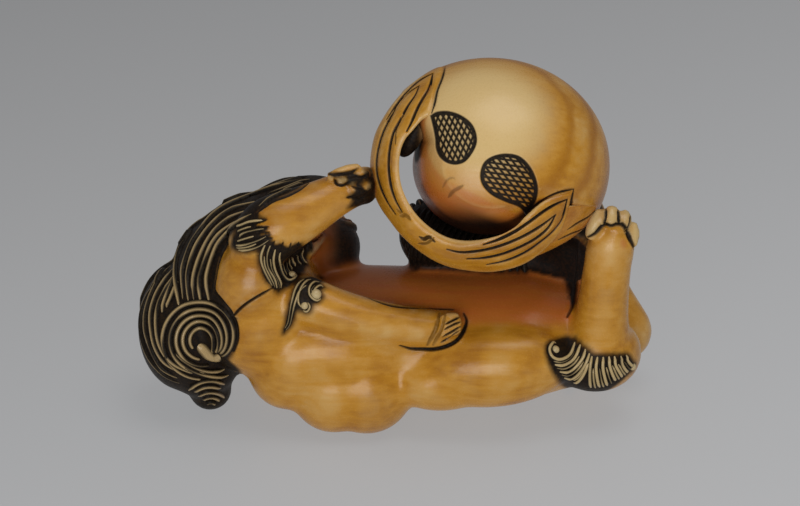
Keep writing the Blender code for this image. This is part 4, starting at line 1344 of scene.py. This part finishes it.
ribbon = ribbon_shape("ribbon", RIBBON_OUTER, RIBBON_INNER, RIBBON_LIFT)
ribbon_skin = tree_of(ribbon)
FOLDS = [
    [(4.15, 36.25), (2.7, 35.5), (1.3, 34.2), (0.2, 32.8), (-0.7, 31.4)],
    [(4.15, 36.25), (3.8, 34.7), (3.1, 33.5), (2.5, 32.4), (1.9, 31.0), (1.4, 30.0)],
    [(2.7, 34.9), (1.6, 34.2), (0.5, 33.0), (-0.4, 31.4), (-1.2, 29.7), (-1.7, 27.7), (-1.75, 25.8),
     (-1.3, 24.1), (-0.6, 22.6), (0.2, 21.4)],
    [(2.7, 34.9), (2.3, 33.9), (1.5, 32.7), (0.7, 31.2), (0.0, 29.9), (-0.4, 28.1), (-0.5, 26.4),
     (-0.3, 24.5), (0.2, 22.9), (0.9, 21.6)],
    [(18.1, 22.9), (16.9, 22.4), (15.7, 21.7), (14.2, 20.6), (12.7, 19.6), (11.0, 18.75), (9.4, 18.2)],
    [(18.1, 22.9), (17.6, 21.0), (16.6, 19.6), (15.2, 18.4), (13.6, 17.3), (11.7, 16.5), (9.8, 16.1)],
    [(16.9, 21.3), (15.6, 20.3), (14.0, 19.3), (12.3, 18.5), (10.6, 17.9), (8.7, 17.5), (7.0, 17.4),
     (5.6, 17.7)],
    [(16.9, 21.3), (16.1, 19.9), (14.8, 18.8), (13.1, 17.9), (11.3, 17.2), (9.4, 16.8), (7.7, 16.7)],
]
SHORT_CUTS = [
    ([(1.0, 31.8), (0.3, 30.2), (0.2, 28.7)], 0.16, 0.16, 0.7),
    ([(0.7, 21.2), (1.25, 21.25), (1.75, 20.8)], 0.26, 0.22, 0.45),
    ([(0.3, 21.9), (0.8, 21.5)], 0.2, 0.16, 0.4),
    ([(2.75, 19.0), (3.2, 18.75), (3.7, 18.95), (4.3, 18.5)], 0.26, 0.26, 0.9),
    ([(2.6, 18.3), (3.5, 18.35), (4.2, 18.9)], 0.18, 0.16, 0.6),
]
engraved(ribbon, [line_on(ribbon_skin, fold, 0.55, 0.16, 0.0) for fold in FOLDS], 1)
ribbon_skin = tree_of(ribbon)
engraved(ribbon, [line_on(ribbon_skin, fold, 0.19, 0.24) for fold in FOLDS]
         + [line_on(ribbon_skin, *cut) for cut in SHORT_CUTS], 1)

# The other end of the ribbon: a darker leaf that comes out from under the first
END_OUTER = [(13.0, 15.95), (14.8, 16.75), (17.1, 17.8), (19.0, 18.9), (21.1, 20.66), (21.75, 22.3)]
END_INNER = [(13.0, 18.2), (14.8, 19.2), (16.6, 20.6), (17.9, 22.0), (19.6, 22.3), (21.75, 22.4)]
ribbon_end = ribbon_shape("ribbon_end", END_OUTER, END_INNER, 0.1, False, 160)
end_skin = tree_of(ribbon_end)
END_FOLDS = [
    [(18.3, 19.8), (19.4, 20.5), (20.5, 21.1), (21.4, 21.9)],
    [(17.3, 18.7), (18.6, 19.3), (20.1, 19.9), (21.1, 20.9)],
]
engraved(ribbon_end, [line_on(end_skin, fold, 0.2, 0.2, 0.9) for fold in END_FOLDS], 1)
across, up, _ = layout_of(ribbon_end.data)
set_point_values(ribbon_end.data, "stain_and_shade", ramp(across - up, -1.5, 0.5) * 0.4 + 0.15)
for piece, tone in ((ribbon, 0.46), (ribbon_end, 0.52)):
    set_point_values(piece.data, "pale", np.zeros(len(piece.data.vertices)))
    piece.data.materials.append(ivory(piece.name + "_ivory", tone))
    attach(piece, "root")
    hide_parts("lion_dog_and_ball")

# Edge line round each pointed end, where the ribbon steps down to the ball
END_EDGES = [
    [(5.5, 37.1), (5.1, 35.6), (4.6, 34.3), (4.3, 32.9), (4.0, 31.9)],
    [(18.8, 24.0), (18.6, 22.9), (18.4, 21.6), (17.9, 20.0), (17.0, 18.7)],
    [(18.8, 24.0), (17.0, 23.55), (15.3, 22.7), (14.0, 21.6)],
]
ball_skin = tree_of(ball)
engraved(ball, [line_on(ball_skin, edge, 0.16, 0.1) for edge in END_EDGES], 1)


# Stain, painted shade, ink and wear
# The finished carving was steeped in a warm stain and polished back: it stays dark where
# the cloth can't reach and turns pale where hands rub it. How much of each point's outlook
# the carving closes off also darkens it as painted shade, for light that can't reach in.
PIECES = [body, mane, tufts, tail, ball, ribbon, ribbon_end]
HOLLOW_RAYS = 14
HOLLOW_REACH = 5.0
RAY_START = 0.08
golden = math.pi * (3 - math.sqrt(5))
RAYS = []
for i in range(HOLLOW_RAYS):
    up = math.sqrt((i + 0.5) / HOLLOW_RAYS)
    side = math.sqrt(1 - up * up)
    RAYS.append(Vector((side * math.cos(golden * i), side * math.sin(golden * i), up)))
whole = tree_of(*PIECES)


def hidden(mesh):
    """Share of each point's outlook that the carving itself closes off."""
    values = []
    for vertex in mesh.vertices:
        out = vertex.normal
        turn = out.to_track_quat("Z", "Y")
        start = vertex.co + out * RAY_START
        closed = 0
        for ray in RAYS:
            if whole.ray_cast(start, turn @ ray, HOLLOW_REACH)[0] is not None:
                closed += 1
        values.append(closed / HOLLOW_RAYS)
    return np.array(values)


def bulge(mesh):
    """Above zero on crests, below zero in hollows."""
    count = len(mesh.vertices)
    places = np.zeros(count * 3)
    mesh.vertices.foreach_get("co", places)
    places = places.reshape(-1, 3)
    normals = np.array([v.normal for v in mesh.vertices])
    soft = np.stack([softened(mesh, places[:, k], 2) for k in range(3)], 1)
    return ((places - soft) * normals).sum(1)


for piece in PIECES:
    mesh = piece.data
    set_point_values(mesh, "recess", softened(mesh, hidden(mesh), 3))
    set_point_values(mesh, "wear", ramp(softened(mesh, bulge(mesh), 1), 0.004, 0.03))

# Ink also lies along every lock of hair, and the carving is brought from millimetres to metres
hair_tree = KDTree(sum(len(piece.data.vertices) for piece in (mane, tufts, tail)))
for piece in (mane, tufts, tail):
    for vertex in piece.data.vertices:
        hair_tree.insert(vertex.co, 0)
hair_tree.balance()
near_hair = np.array([hair_tree.find(v.co)[2] for v in body.data.vertices])
ink = np.maximum(point_values(body.data, "ink"), 1 - ramp(near_hair, 0.15, 0.36))
set_point_values(body.data, "ink", softened(body.data, ink, 1))
for piece in PIECES:
    for polygon in piece.data.polygons:
        polygon.use_smooth = True
    piece.data.transform(Matrix.Scale(MILLIMETRE, 4))


# Floor, light and camera
# A pale sheet glows with painted light in its own surface, less towards the far left, so that
# next to no shadow is left. One soft light hangs over it and a weaker one stands in front.
FLOOR_GREY = (0.13, 0.13, 0.132)
FLOOR_GLOW = (0.272, 0.274, 0.278)
GLOW_SIDEWAYS, GLOW_AWAY = 1.2, -2.2        # change of the glow for each metre
floor_points = [(-1.2, -1.2, 0), (1.2, -1.2, 0), (1.2, 1.6, 0), (-1.2, 1.6, 0)]
floor = mesh_object("floor", floor_points, [(0, 1, 2, 3)])
floor_material = bpy.data.materials.new("grey_sheet")
floor_material.use_nodes = True
sheet = floor_material.node_tree.nodes["Principled BSDF"]
sheet.inputs["Base Color"].default_value = (*FLOOR_GREY, 1)
sheet.inputs["Roughness"].default_value = 0.7
sheet.inputs["Emission Color"].default_value = (*FLOOR_GLOW, 1)
floor_tree = floor_material.node_tree
ground = add_node(floor_tree, "ShaderNodeTexCoord").outputs["Object"]
spot = add_node(floor_tree, "ShaderNodeSeparateXYZ", None, Vector=ground)
sideways = math_node(floor_tree, "MULTIPLY", spot.outputs[0], GLOW_SIDEWAYS)
away = math_node(floor_tree, "MULTIPLY", spot.outputs[1], GLOW_AWAY)
glow = remap(floor_tree, math_node(floor_tree, "ADD", sideways, away), -0.6, 0.6, 0.52, 1.72)
floor_tree.links.new(glow, sheet.inputs["Emission Strength"])
floor.data.materials.append(floor_material)


LIT_PLACE = Vector((0, 0, 0.02))


def area_light(name, place, size, power):
    lamp = bpy.data.lights.new(name, "AREA")
    lamp.size = size
    lamp.energy = power
    holder = placed(name, lamp)
    holder.location = place
    holder.rotation_euler = (LIT_PLACE - Vector(place)).to_track_quat("-Z", "Y").to_euler()


area_light("overhead", (0.07, -0.06, 0.42), size=0.26, power=0.56)
area_light("front_fill", (-0.06, -0.5, 0.07), size=0.3, power=1.2)
world = bpy.data.worlds.new("studio")
world.use_nodes = True
world.node_tree.nodes["Background"].inputs[0].default_value = (0.62, 0.63, 0.66, 1)
world.node_tree.nodes["Background"].inputs[1].default_value = 0.32
bpy.context.scene.world = world
bpy.context.scene.view_settings.view_transform = "Standard"

IMAGE_WIDTH, IMAGE_HEIGHT = 800, 506
PIXEL = 0.0001072           # metres for a pixel, at the carving's near side
NEAR_SIDE = 0.008
ORIGIN_PIXEL = (395.8, 408.5)
camera_data = bpy.data.cameras.new("camera")
camera_data.lens = 180
camera_data.sensor_width = 36
camera_data.clip_start = 0.01
camera = placed("camera", camera_data)
right, lift, back = FRONT
distance = IMAGE_WIDTH * PIXEL * camera_data.lens / camera_data.sensor_width
aim = right * ((IMAGE_WIDTH / 2 - ORIGIN_PIXEL[0]) * PIXEL)
aim += lift * ((ORIGIN_PIXEL[1] - IMAGE_HEIGHT / 2) * PIXEL)
camera.location = aim + back * (distance + NEAR_SIDE)
camera.rotation_euler = (-back).to_track_quat("-Z", "Y").to_euler()
bpy.context.scene.camera = camera
